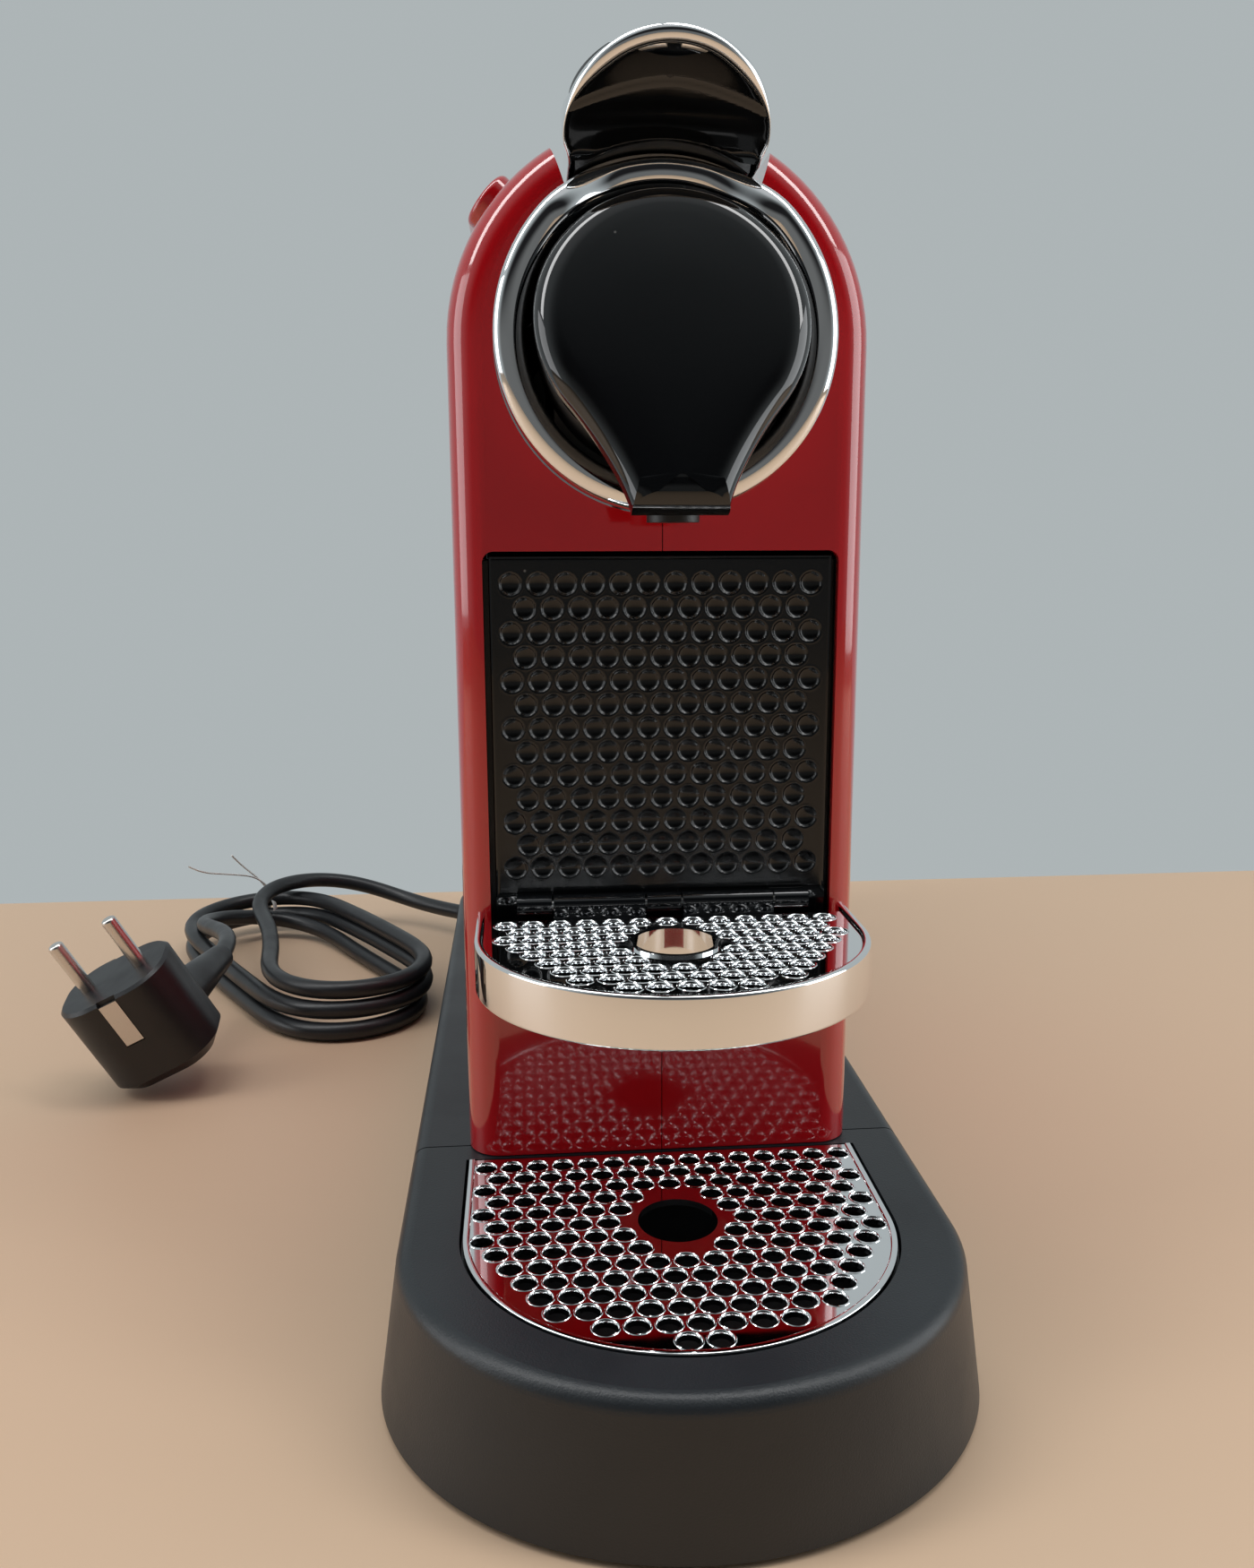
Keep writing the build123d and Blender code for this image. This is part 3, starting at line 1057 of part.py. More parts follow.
def bend_radii(points):
    """Arc radius at each inner point: 0.45 of the shorter run over the tangent of half the turn."""
    spots = [Vector(*point) for point in points]
    radii = []
    for before, corner, after in zip(spots, spots[1:], spots[2:]):
        turn = math.radians((corner - before).get_angle(after - corner))
        shorter = min((corner - before).length, (after - corner).length)
        radii.append(0.45 * shorter / math.tan(turn / 2))
    return radii


for name, route in (("cord_lead", LEAD), ("cord_tail", TAIL)):
    radii = bend_radii(route)
    with BuildPart() as cord_tube:
        add(hose(route, radii, CORD_RADIUS))
    centre_line = FilletPolyline(*route, radius=radii)
    print(name, "radii", [round(radius) for radius in radii], "length", round(centre_line.length, 1),
          "volume", round(cord_tube.part.volume), "section x length",
          round(math.pi * CORD_RADIUS**2 * centre_line.length))
    finish(cord_tube.part, name)

COIL_CENTRE = (-125.0, 140.0)
COIL_LONG = 84.0
COIL_SHORT = 37.0
COIL_TURN = 122.0
COIL_HEIGHT = 20.0
coil_plane = Plane((COIL_CENTRE[0], COIL_CENTRE[1], 0.2),
                   x_dir=(math.cos(math.radians(COIL_TURN)), math.sin(math.radians(COIL_TURN)), 0),
                   z_dir=(0, 0, 1))
with BuildPart() as cord_coil:
    with BuildSketch(coil_plane):
        Ellipse(COIL_LONG + CORD_RADIUS, COIL_SHORT + CORD_RADIUS)
        Ellipse(COIL_LONG - 24, COIL_SHORT - 21, mode=Mode.SUBTRACT)
    extrude(amount=COIL_HEIGHT)
finish(cord_coil.part, "cord_coil")

TIE_ALONG = 78.0
tie_plane = Plane(coil_plane.from_local_coords(Vector(TIE_ALONG, 0, COIL_HEIGHT / 2)),
                  x_dir=coil_plane.x_dir, z_dir=coil_plane.y_dir)
with BuildPart() as cord_tie:
    with BuildSketch(tie_plane.offset(-0.6)):
        Ellipse(13.5, COIL_HEIGHT / 2 + 0.8)
        Ellipse(12.7, COIL_HEIGHT / 2, mode=Mode.SUBTRACT)
    extrude(amount=1.2)
    tie_top = coil_plane.from_local_coords(Vector(TIE_ALONG, 0, COIL_HEIGHT))
    for lean_x, lean_y in ((-0.5, 0.1), (0.35, -0.1)):
        rod(Plane(tie_top, z_dir=(lean_x, lean_y, 1)), (0, 0), 0.5, 20)
finish(cord_tie.part, "cord_tie")

# ------------------------------------------------------------------ plug
PLUG_RADIUS = 19.0
PLUG_HEIGHT = 36.0
PLUG_DEPTH = 31.0
PIN_LENGTH = 19.0
PIN_SPACING = 19.0
plug_up = Vector(-0.4226, -0.208, 0.882).normalized()
plug_base = Vector(-152, 32, 9.4)
plug_plane = Plane(plug_base, x_dir=(0.882, 0, 0.4226), z_dir=plug_up)

with BuildPart() as plug_body:
    with BuildSketch(plug_plane):
        RectangleRounded(2 * PLUG_RADIUS, PLUG_DEPTH, 13)
    extrude(amount=PLUG_HEIGHT)
    chamfer(plug_body.faces().sort_by(Axis(plug_base, plug_up))[0].edges(), 4)
    chamfer(plug_body.faces().sort_by(Axis(plug_base, plug_up))[-1].edges(), 1)
    for side in (-1, 1):
        with BuildSketch(plug_plane.offset(PLUG_HEIGHT - 18)):
            with Locations((0, side * 15.5)):
                Rectangle(6.4, 3.0)
        extrude(amount=19, mode=Mode.SUBTRACT)
finish(plug_body.part, "plug_body")

with BuildPart() as plug_pins:
    for side in (-1, 1):
        rod(plug_plane.offset(PLUG_HEIGHT), (side * PIN_SPACING / 2, 0), 2.4, PIN_LENGTH)
    fillet(plug_pins.faces().group_by(Axis(plug_base, plug_up))[-1].edges(), 1.2)
finish(plug_pins.part, "plug_pins")

with BuildPart() as plug_clips:
    for side in (-1, 1):
        with BuildSketch(plug_plane.offset(PLUG_HEIGHT - 17.5)):
            with Locations((0, side * 15.0)):
                Rectangle(6.0, 1.2)
        extrude(amount=16)
finish(plug_clips.part, "plug_clips")

relief_end = Vector(*TAIL[-1])
relief_dir = (relief_end - (plug_base + plug_up * 15)).normalized()
relief_start = plug_base + plug_up * 15 + relief_dir * 10
with BuildPart() as plug_relief:
    with BuildSketch(Plane(relief_start, z_dir=relief_dir)):
        Circle(9.5)
    with BuildSketch(Plane(relief_end, z_dir=relief_dir)):
        Circle(CORD_RADIUS + 1.4)
    loft()
    add(plug_body.part, mode=Mode.SUBTRACT)
    add(plug_clips.part, mode=Mode.SUBTRACT)
finish(plug_relief.part, "plug_relief")
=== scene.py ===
# %% [markdown]
# # A pod coffee machine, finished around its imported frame
#
# The mechanical model already holds every part, size and joint of the machine. This lesson adds what
# the eye judges: smooth chrome, lacquered shells, a soft cable and the small forms that catch light.
# Each step says what the piece is on the real machine, how it could be made and why it is made this way.

# %% Load the frame
import json
import math

import bmesh
import bpy
import numpy as np
from mathutils import Matrix, Vector


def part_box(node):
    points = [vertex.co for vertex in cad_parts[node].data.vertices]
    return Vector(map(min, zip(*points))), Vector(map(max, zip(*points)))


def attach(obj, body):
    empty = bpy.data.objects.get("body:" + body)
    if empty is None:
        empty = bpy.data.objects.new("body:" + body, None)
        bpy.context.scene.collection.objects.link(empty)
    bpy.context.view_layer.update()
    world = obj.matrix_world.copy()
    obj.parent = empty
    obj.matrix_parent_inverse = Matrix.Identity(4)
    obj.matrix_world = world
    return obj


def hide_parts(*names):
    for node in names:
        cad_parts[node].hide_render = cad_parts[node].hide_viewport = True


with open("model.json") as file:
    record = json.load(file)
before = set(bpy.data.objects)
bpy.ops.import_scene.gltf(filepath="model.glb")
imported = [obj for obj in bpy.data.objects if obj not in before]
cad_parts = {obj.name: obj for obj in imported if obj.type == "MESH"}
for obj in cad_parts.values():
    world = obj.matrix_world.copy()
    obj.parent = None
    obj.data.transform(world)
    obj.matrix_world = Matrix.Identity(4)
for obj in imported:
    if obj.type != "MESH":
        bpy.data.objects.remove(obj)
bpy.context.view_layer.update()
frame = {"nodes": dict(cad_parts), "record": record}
nodes = frame["nodes"]

# %% [markdown]
# The camera comes first, because it decides what shows and what stays hidden behind the machine. It
# stands a little left of the machine, below the brew head, and looks slightly down. A wide lens this
# close makes the base look large and the lever small, as when one leans over a worktop.

# %% Camera
MM = 0.001
CAMERA_PLACE = np.array([-31.0, -371.0, 178.0]) * MM
CAMERA_PITCH = math.radians(10.85)
CAMERA_YAW = math.radians(4.7)
CAMERA_ROLL = math.radians(-0.24)

look = Vector((math.sin(CAMERA_YAW) * math.cos(CAMERA_PITCH),
               math.cos(CAMERA_YAW) * math.cos(CAMERA_PITCH),
               -math.sin(CAMERA_PITCH)))
level_right = Vector((math.cos(CAMERA_YAW), -math.sin(CAMERA_YAW), 0.0))
level_up = level_right.cross(look)
camera_right = math.cos(CAMERA_ROLL) * level_right + math.sin(CAMERA_ROLL) * level_up
camera_up = math.cos(CAMERA_ROLL) * level_up - math.sin(CAMERA_ROLL) * level_right

camera_data = bpy.data.cameras.new("camera")
camera_data.lens = 28.18
camera_data.sensor_width = 36.0
camera_data.clip_start = 0.01
camera = bpy.data.objects.new("camera", camera_data)
camera.matrix_world = Matrix.Translation(CAMERA_PLACE) @ Matrix(
    (camera_right, camera_up, -look)).transposed().to_4x4()
bpy.context.scene.collection.objects.link(camera)
bpy.context.scene.camera = camera
print("camera looks along", tuple(round(v, 3) for v in look))

# %% [markdown]
# Every new piece is a grid of points worked out as whole arrays, in millimetres, and two small
# functions turn such a grid into a mesh. A grid can close on itself along its rows, as a ring does, and
# its first or last row can shrink to one point, which merging then closes. Normals are worked out
# again after the merge, so that each closed shell faces outwards.

# %% From a grid of points to a piece

def grid_faces(rows, columns, closed_rows=False, closed_columns=False):
    """Quads between each point of a grid, its neighbour in the row and the two points one row on."""
    row = np.arange(rows if closed_rows else rows - 1)[:, None]
    column = np.arange(columns if closed_columns else columns - 1)[None, :]
    next_row = (row + 1) % rows
    next_column = (column + 1) % columns
    corners = [row * columns + column, row * columns + next_column,
               next_row * columns + next_column, next_row * columns + column]
    return np.stack(np.broadcast_arrays(*corners), axis=-1).reshape(-1, 4)


def make_piece(name, body, slot, points, faces, stands_for=(), crease=35.0, finish=None):
    """Mesh object from points in millimetres; edges sharper than crease degrees stay sharp.

    The finish is the slot's own unless another is named.
    """
    mesh = bpy.data.meshes.new(name)
    mesh.from_pydata((np.asarray(points).reshape(-1, 3) * MM).tolist(), [], faces.tolist())
    shape = bmesh.new()
    shape.from_mesh(mesh)
    bmesh.ops.remove_doubles(shape, verts=shape.verts, dist=0.00001)
    bmesh.ops.recalc_face_normals(shape, faces=shape.faces)
    shape.to_mesh(mesh)
    shape.free()
    mesh.shade_smooth()
    mesh.set_sharp_from_angle(angle=math.radians(crease))
    piece = bpy.data.objects.new(name, mesh)
    bpy.context.scene.collection.objects.link(piece)
    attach(piece, body)
    if stands_for:
        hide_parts(*stands_for)
    piece.data.materials.append(finishes[finish or slot])
    print(name, len(mesh.polygons), "faces")
    return piece


def node_box(name):
    """Lowest and highest corners of a node, in millimetres, as arrays."""
    low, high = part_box(name)
    return np.array(low) / MM, np.array(high) / MM


def smooth_step(value, low, high):
    """0 below low, 1 above high, and an S-shaped rise between them."""
    share = np.clip((value - low) / (high - low), 0.0, 1.0)
    return share * share * (3.0 - 2.0 * share)


# %% [markdown]
# No finish on a real appliance is one flat colour. Moulded and plated skins carry faint smudges that
# change the gloss, a grain too fine to see but not to catch light, and a little dust. These effects
# are shared by most materials here, so each is a node group with named sockets, placed in a material
# with its own values. The Principled shader stays outside, in the material.

# %% Shared effects as node groups


def new_group(name, inputs, outputs):
    """Empty shader group: inputs maps a socket name to its default, outputs a name to its type."""
    group = bpy.data.node_groups.new(name, "ShaderNodeTree")
    for label, default in inputs.items():
        socket = group.interface.new_socket(label, in_out="INPUT", socket_type="NodeSocketFloat")
        socket.default_value = default
    for label, kind in outputs.items():
        group.interface.new_socket(label, in_out="OUTPUT", socket_type="NodeSocket" + kind)
    return group, group.nodes.new("NodeGroupInput"), group.nodes.new("NodeGroupOutput")


def add_node(tree, kind, links=(), **values):
    """Shader node with input values by socket name, and links given as (output, input name)."""
    node = tree.nodes.new("ShaderNode" + kind)
    for label, value in values.items():
        if label in node.inputs:
            node.inputs[label].default_value = value
        else:
            setattr(node, label, value)
    for source, label in links:
        tree.links.new(source, node.inputs[label])
    return node


def build_skin_group():
    """Roughness with smudges, and a fine grain as a bump, both from object coordinates."""
    group, given, result = new_group(
        "skin", {"Roughness": 0.2, "Smudges": 0.1, "Smudge Scale": 30.0, "Grain Scale": 2000.0,
                 "Grain Depth": 0.00002}, {"Roughness": "Float", "Normal": "Vector"})
    place = add_node(group, "TexCoord").outputs["Object"]
    smudge = add_node(group, "TexNoise", [(place, "Vector"), (given.outputs["Smudge Scale"], "Scale")],
                      Detail=4.0, Roughness=0.6)
    patch = add_node(group, "MapRange", [(smudge.outputs["Fac"], "Value")])
    patch.inputs["From Min"].default_value = 0.42
    patch.inputs["From Max"].default_value = 0.68
    share = add_node(group, "Math", [(patch.outputs["Result"], 0), (given.outputs["Smudges"], 1)],
                     operation="MULTIPLY")
    total = add_node(group, "Math", [(share.outputs[0], 0), (given.outputs["Roughness"], 1)],
                     operation="ADD", use_clamp=True)
    grain = add_node(group, "TexNoise", [(place, "Vector"), (given.outputs["Grain Scale"], "Scale")],
                     Detail=2.0)
    bump = add_node(group, "Bump", [(grain.outputs["Fac"], "Height"),
                                    (given.outputs["Grain Depth"], "Distance")], Strength=1.0)
    group.links.new(total.outputs[0], result.inputs["Roughness"])
    group.links.new(bump.outputs["Normal"], result.inputs["Normal"])
    return group


def build_dust_group():
    """Mask of scattered specks: bright where a fine cell noise is near its points and a patch allows it."""
    group, given, result = new_group("dust", {"Scale": 260.0, "Amount": 0.5}, {"Mask": "Float"})
    place = add_node(group, "TexCoord").outputs["Object"]
    cells = add_node(group, "TexVoronoi", [(place, "Vector"), (given.outputs["Scale"], "Scale")])
    near = add_node(group, "MapRange", [(cells.outputs["Distance"], "Value")])
    near.inputs["From Min"].default_value = 0.10
    near.inputs["From Max"].default_value = 0.04
    pick = add_node(group, "SeparateColor", [(cells.outputs["Color"], "Color")])
    chosen = add_node(group, "Math", [(pick.outputs["Red"], 0), (given.outputs["Amount"], 1)],
                      operation="LESS_THAN")
    mask = add_node(group, "Math", [(near.outputs["Result"], 0), (chosen.outputs[0], 1)],
                    operation="MULTIPLY")
    group.links.new(mask.outputs[0], result.inputs["Mask"])
    return group


def build_mottle_group():
    """Colour between two shades, chosen by a slow noise, for mouldings that aren't quite even."""
    group, given, result = new_group("mottle", {"Scale": 40.0, "Contrast": 0.3}, {"Mask": "Float"})
    place = add_node(group, "TexCoord").outputs["Object"]
    slow = add_node(group, "TexNoise", [(place, "Vector"), (given.outputs["Scale"], "Scale")], Detail=5.0)
    mask = add_node(group, "Math", [(slow.outputs["Fac"], 0), (given.outputs["Contrast"], 1)],
                    operation="MULTIPLY", use_clamp=True)
    group.links.new(mask.outputs[0], result.inputs["Mask"])
    return group


skin_group = build_skin_group()
dust_group = build_dust_group()
mottle_group = build_mottle_group()
print("groups:", [group.name for group in bpy.data.node_groups])

# %% [markdown]
# Each finish is one material. A helper sets up the shader with the values that are the same all over,
# on the shader's own sockets, and feeds it the mottled colour, the smudged roughness and the grain.
# What sets one finish apart from another is then a short list of numbers: lacquer is a colour under a
# clear coat, chrome is a metal with almost no roughness, and textured plastic is mostly grain.

# %% Finishes


def new_finish(name, dark, light, rough, smudges=0.05, smudge_scale=30.0, grain=2000.0, depth=0.00001,
               mottle=40.0, dust=0.0, **shader_values):
    """Principled material from two shades, a roughness and the shared effects."""
    material = bpy.data.materials.new(name)
    material.use_nodes = True
    tree = material.node_tree
    shader = tree.nodes["Principled BSDF"]
    for label, value in shader_values.items():
        shader.inputs[label.replace("_", " ")].default_value = value
    skin = add_node(tree, "Group", node_tree=skin_group)
    for label, value in (("Roughness", rough), ("Smudges", smudges), ("Smudge Scale", smudge_scale),
                         ("Grain Scale", grain), ("Grain Depth", depth)):
        skin.inputs[label].default_value = value
    shade = add_node(tree, "Group", node_tree=mottle_group)
    shade.inputs["Scale"].default_value = mottle
    shade.inputs["Contrast"].default_value = 1.0
    colour = add_node(tree, "MixRGB", [(shade.outputs["Mask"], "Fac")])
    colour.inputs["Color1"].default_value = (*dark, 1.0)
    colour.inputs["Color2"].default_value = (*light, 1.0)
    shown = colour.outputs["Color"]
    if dust:
        specks = add_node(tree, "Group", node_tree=dust_group)
        specks.inputs["Amount"].default_value = dust
        dusty = add_node(tree, "MixRGB", [(specks.outputs["Mask"], "Fac"), (shown, "Color1")])
        dusty.inputs["Color2"].default_value = (0.16, 0.16, 0.16, 1.0)
        shown = dusty.outputs["Color"]
    tree.links.new(shown, shader.inputs["Base Color"])
    tree.links.new(skin.outputs["Roughness"], shader.inputs["Roughness"])
    tree.links.new(skin.outputs["Normal"], shader.inputs["Normal"])
    return material


finishes = {
    "gloss_red": new_finish("gloss_red", (0.42, 0.004, 0.008), (0.48, 0.006, 0.011), 0.10, 0.05,
                            grain=700.0, depth=0.000002, Coat_Weight=1.0, Coat_Roughness=0.04),
    "chrome": new_finish("chrome", (0.86, 0.87, 0.88), (0.93, 0.94, 0.95), 0.025, 0.05,
                         grain=500.0, depth=0.0000006, Metallic=1.0),
    "gloss_black": new_finish("gloss_black", (0.0025, 0.003, 0.0035), (0.0045, 0.005, 0.006), 0.035, 0.05,
                              grain=600.0, depth=0.000001, dust=0.05, Coat_Weight=0.4,
                              Coat_Roughness=0.03),
    "panel_black": new_finish("panel_black", (0.0025, 0.003, 0.0035), (0.0045, 0.005, 0.006), 0.16, 0.08,
                              grain=900.0, depth=0.000004, dust=0.04),
    "satin_charcoal": new_finish("satin_charcoal", (0.010, 0.013, 0.016), (0.017, 0.021, 0.025), 0.36,
                                 0.08, grain=2600.0, depth=0.00005, dust=0.02),
    "matte_black": new_finish("matte_black", (0.006, 0.0065, 0.007), (0.012, 0.013, 0.014), 0.36, 0.1,
                              grain=2200.0, depth=0.00003, dust=0.03),
    "steel": new_finish("steel", (0.50, 0.51, 0.52), (0.62, 0.62, 0.63), 0.28, 0.1, grain=3000.0,
                        depth=0.00001, Metallic=1.0),
    "tank_clear": new_finish("tank_clear", (0.80, 0.86, 0.88), (0.88, 0.92, 0.94), 0.06, 0.05,
                             depth=0.000002, Transmission_Weight=0.92, IOR=1.46),
    "rubber_black": new_finish("rubber_black", (0.010, 0.010, 0.011), (0.020, 0.020, 0.021), 0.62, 0.1,
                               grain=1500.0, depth=0.00004),
    "cord_black": new_finish("cord_black", (0.009, 0.010, 0.012), (0.016, 0.018, 0.021), 0.34, 0.12,
                             smudge_scale=60.0, grain=1800.0, depth=0.00003),
    "board_green": new_finish("board_green", (0.006, 0.09, 0.035), (0.012, 0.16, 0.06), 0.35, 0.1,
                              mottle=400.0),
    "boiler_alloy": new_finish("boiler_alloy", (0.42, 0.43, 0.44), (0.58, 0.58, 0.59), 0.42, 0.1,
                               grain=900.0, depth=0.0001, Metallic=1.0),
    "grey_plastic": new_finish("grey_plastic", (0.16, 0.165, 0.17), (0.23, 0.235, 0.24), 0.45, 0.1,
                               grain=1600.0, depth=0.00003),
    "plated_pin": new_finish("plated_pin", (0.62, 0.60, 0.57), (0.76, 0.74, 0.71), 0.20, 0.12,
                             grain=2400.0, depth=0.00001, Metallic=1.0),
    "tie_white": new_finish("tie_white", (0.62, 0.62, 0.60), (0.78, 0.78, 0.76), 0.45, 0.1),
}

for part in frame["record"]["subparts"]:
    slots = nodes[part["node"]].data.materials
    slots.clear()
    slots.append(finishes[part["material_slot"]])
print("finishes:", len(finishes))

# %% [markdown]
# The machine stands on a plain warm floor that ends a little way behind it. Beyond the edge there is
# only the pale sky, so no wall stands in the way when the machine is looked at from behind. The warm
# tone of the floor is what the chrome band in front picks up.

# %% Floor
FLOOR_NEAR = -1600.0
FLOOR_FAR = 262.0
FLOOR_HALF = 2600.0


def build_floor():
    """One flat sheet, level with the machine's feet, in warm paper."""
    corners = np.array([[-FLOOR_HALF, FLOOR_NEAR, 0.0], [FLOOR_HALF, FLOOR_NEAR, 0.0],
                        [FLOOR_HALF, FLOOR_FAR, 0.0], [-FLOOR_HALF, FLOOR_FAR, 0.0]])
    mesh = bpy.data.meshes.new("floor")
    mesh.from_pydata((corners * MM).tolist(), [], [(0, 1, 2, 3)])
    floor = bpy.data.objects.new("floor", mesh)
    bpy.context.scene.collection.objects.link(floor)
    paper = bpy.data.materials.new("paper")
    paper.use_nodes = True
    shader = paper.node_tree.nodes["Principled BSDF"]
    shader.inputs["Base Color"].default_value = (0.62, 0.44, 0.30, 1.0)
    shader.inputs["Roughness"].default_value = 0.55
    mesh.materials.append(paper)


build_floor()

# %% [markdown]
# Gloss is mostly what it reflects, so the studio matters as much as the materials. Above hang soft
# boxes that draw long lines along the arch and the ring. The sides are bright, the space in front of
# the machine is dim, and so the black cover and the panel stay deep while their bevels light up.

# %% Soft light


def soft_box(name, place, aim, size, power, colour=(1.0, 1.0, 1.0)):
    """Rectangular area light in millimetres that faces a point."""
    data = bpy.data.lights.new(name, "AREA")
    data.shape = "RECTANGLE"
    data.size = size[0] * MM
    data.size_y = size[1] * MM
    data.energy = power
    data.color = colour
    light = bpy.data.objects.new(name, data)
    light.location = Vector(place) * MM
    light.rotation_mode = "QUATERNION"
    light.rotation_quaternion = (Vector(aim) - Vector(place)).to_track_quat("-Z", "Y")
    bpy.context.scene.collection.objects.link(light)


soft_box("ceiling_left", (-620, -150, 1250), (0, 0, 150), (260, 1300), 7.0)
soft_box("ceiling_right", (560, -250, 1250), (0, 0, 150), (260, 1300), 6.5)
soft_box("side_right", (1250, -250, 480), (0, 0, 150), (800, 900), 5.0, (0.95, 0.98, 1.0))
soft_box("side_left", (-1300, -150, 480), (0, 0, 150), (700, 800), 3.5, (0.97, 0.98, 1.0))


def build_world():
    """Sky for the reflections: light at the sides and overhead, grey low in front, dark above that."""
    world = bpy.data.worlds.new("studio")
    bpy.context.scene.world = world
    world.use_nodes = True
    tree = world.node_tree
    back = tree.nodes["Background"]
    place = add_node(tree, "TexCoord").outputs["Generated"]
    split = add_node(tree, "SeparateXYZ", [(place, "Vector")])
    front = add_node(tree, "MapRange", [(split.outputs["Y"], "Value")], interpolation_type="SMOOTHSTEP")
    front.inputs["From Min"].default_value = -0.35
    front.inputs["From Max"].default_value = -0.75
    raised = add_node(tree, "MapRange", [(split.outputs["Z"], "Value")], interpolation_type="SMOOTHSTEP")
    raised.inputs["From Min"].default_value = 0.12
    raised.inputs["From Max"].default_value = 0.40
    facing = add_node(tree, "MixRGB", [(raised.outputs["Result"], "Fac")])
    facing.inputs["Color1"].default_value = (0.13, 0.135, 0.135, 1.0)
    facing.inputs["Color2"].default_value = (0.012, 0.012, 0.013, 1.0)
    top = add_node(tree, "MapRange", [(split.outputs["Z"], "Value")], interpolation_type="SMOOTHSTEP")
    top.inputs["From Min"].default_value = 0.80
    top.inputs["From Max"].default_value = 0.95
    room = add_node(tree, "MixRGB", [(front.outputs["Result"], "Fac"), (facing.outputs["Color"], "Color2")])
    room.inputs["Color1"].default_value = (0.42, 0.46, 0.47, 1.0)
    sky = add_node(tree, "MixRGB", [(top.outputs["Result"], "Fac"), (room.outputs["Color"], "Color1")])
    sky.inputs["Color2"].default_value = (0.48, 0.50, 0.51, 1.0)
    tree.links.new(sky.outputs["Color"], back.inputs["Color"])
    back.inputs["Strength"].default_value = 1.0


build_world()
bpy.context.scene.view_settings.view_transform = "Standard"

# %% [markdown]
# The mains lead is one length of round cable, so it is one smooth spline with a round bevel. It leaves
# the gland at the rear corner, climbs over the far side of its own coil, runs three loose turns that
# lean against the base, and comes over the top to the plug. The stretches at both ends are listed
# points. Each half turn of the coil is worked out: a straight run along the coil's long axis
# and a half circle wide enough for stiff cable, with the turns at different reaches and heights.

# %% Mains lead: where it runs
CORD_RADIUS = 3.4
LEAD = [(-62.3, 183.3, 12.0), (-74, 194.5, 11.0), (-90, 206, 12.5), (-108, 212.5, 18.5), (-125, 212, 22.5),
        (-139, 207.5, 24.0), (-149.5, 199, 24.0), (-155, 187, 22.8), (-155, 174, 20.8)]
TAIL = [(-148.3, 96, 26.8), (-148.6, 86, 26.4)]
COIL_CENTRE = np.array([-125.0, 140.0])
COIL_TURN = math.radians(122.0)
BASE_SIDE = -71.5  # the cable's centre stays this far left where it leans against the base
LEAN_SOFTNESS = 1.0
STRAND_STEP = 9.0  # distance between the spline's points
EASINGS = 3  # how often the route is averaged, so that it bends like stiff cable

# one entry for each pass beside the long axis: its place across the coil, and its height
PASS_SIDES = [33.0, -28.0, 36.0, -28.0, 37.0, -23.0]
PASS_HEIGHTS = [17.8, 17.8, 10.8, 10.8, 3.6, 3.6]
END_REACHES = [-80.0, 77.0, -81.0, 74.0, -83.0]  # along the long axis, at the turn after each pass


def on_table(along, across, height):
    """Points given along and across the coil's long axis, as x, y and z."""
    axis = np.array([math.cos(COIL_TURN), math.sin(COIL_TURN)])
    side = np.array([-axis[1], axis[0]])
    plan = COIL_CENTRE + np.outer(along, axis) + np.outer(across, side)
    return np.column_stack([plan, np.broadcast_to(height, len(plan))])


def half_turn(start, stop, reach, low, high, count=40):
    """Run out, half a circle from one side to the other, and run back, evenly spaced."""
    radius = abs(start - stop) / 2
    run = abs(reach) - radius
    length = 2 * run + math.pi * radius
    gone = np.linspace(0.0, length, count, endpoint=False)
    turn = np.clip((gone - run) / radius, 0.0, math.pi)
    straight = np.where(gone < run, gone, np.where(turn < math.pi, run, length - gone))
    along = np.sign(reach) * (straight + radius * np.sin(turn))
    across = (start + stop) / 2 + (start - stop) / 2 * np.cos(turn)
    return on_table(along, across, low + (high - low) * gone / length)


def lean_on_base(points):
    """Softly keep x left of the base: a smooth minimum of the point's x and the base's side."""
    leaned = points.copy()
    over = np.exp((BASE_SIDE - points[:, 0]) / LEAN_SOFTNESS)
    leaned[:, 0] = BASE_SIDE - LEAN_SOFTNESS * np.log1p(over)
    return leaned


def eased(route):
    """Route resampled at even steps, then averaged with its neighbours a few times, ends held."""
    gone = np.concatenate([[0.0], np.cumsum(np.linalg.norm(np.diff(route, axis=0), axis=1))])
    spots = np.linspace(0.0, gone[-1], int(gone[-1] / STRAND_STEP) + 1)
    points = np.column_stack([np.interp(spots, gone, route[:, axis]) for axis in range(3)])
    for _ in range(EASINGS):
        points[1:-1] = (points[:-2] + 2 * points[1:-1] + points[2:]) / 4
        points[:, 2] = np.maximum(points[:, 2], CORD_RADIUS + 0.2)
    return points


turns = [half_turn(PASS_SIDES[k], PASS_SIDES[k + 1], END_REACHES[k], PASS_HEIGHTS[k], PASS_HEIGHTS[k + 1])
         for k in range(len(END_REACHES))]
turns[0] = turns[0][7:]  # the lead joins the first turn after its first stretch
coil_entry = on_table([20, 0, -20], [10, 17, 24], [18.8, 18.0, 17.8])
coil_exit = on_table([14, 32, 47, 59, 63, 59, 47, 32, 15, 0, -16],
                     [-23, -23.5, -20, -9, 6, 21, 31.5, 34.5, 34.5, 35.5, 38.5],
                     [3.7, 4.6, 6.3, 8.8, 11.4, 14.0, 16.6, 19.4, 22.6, 25.0, 26.8])
cord_points = eased(np.concatenate([LEAD, coil_entry, lean_on_base(np.concatenate(turns)), coil_exit, TAIL]))
print("lead: control points", len(cord_points))

# %% Mains lead: the cable


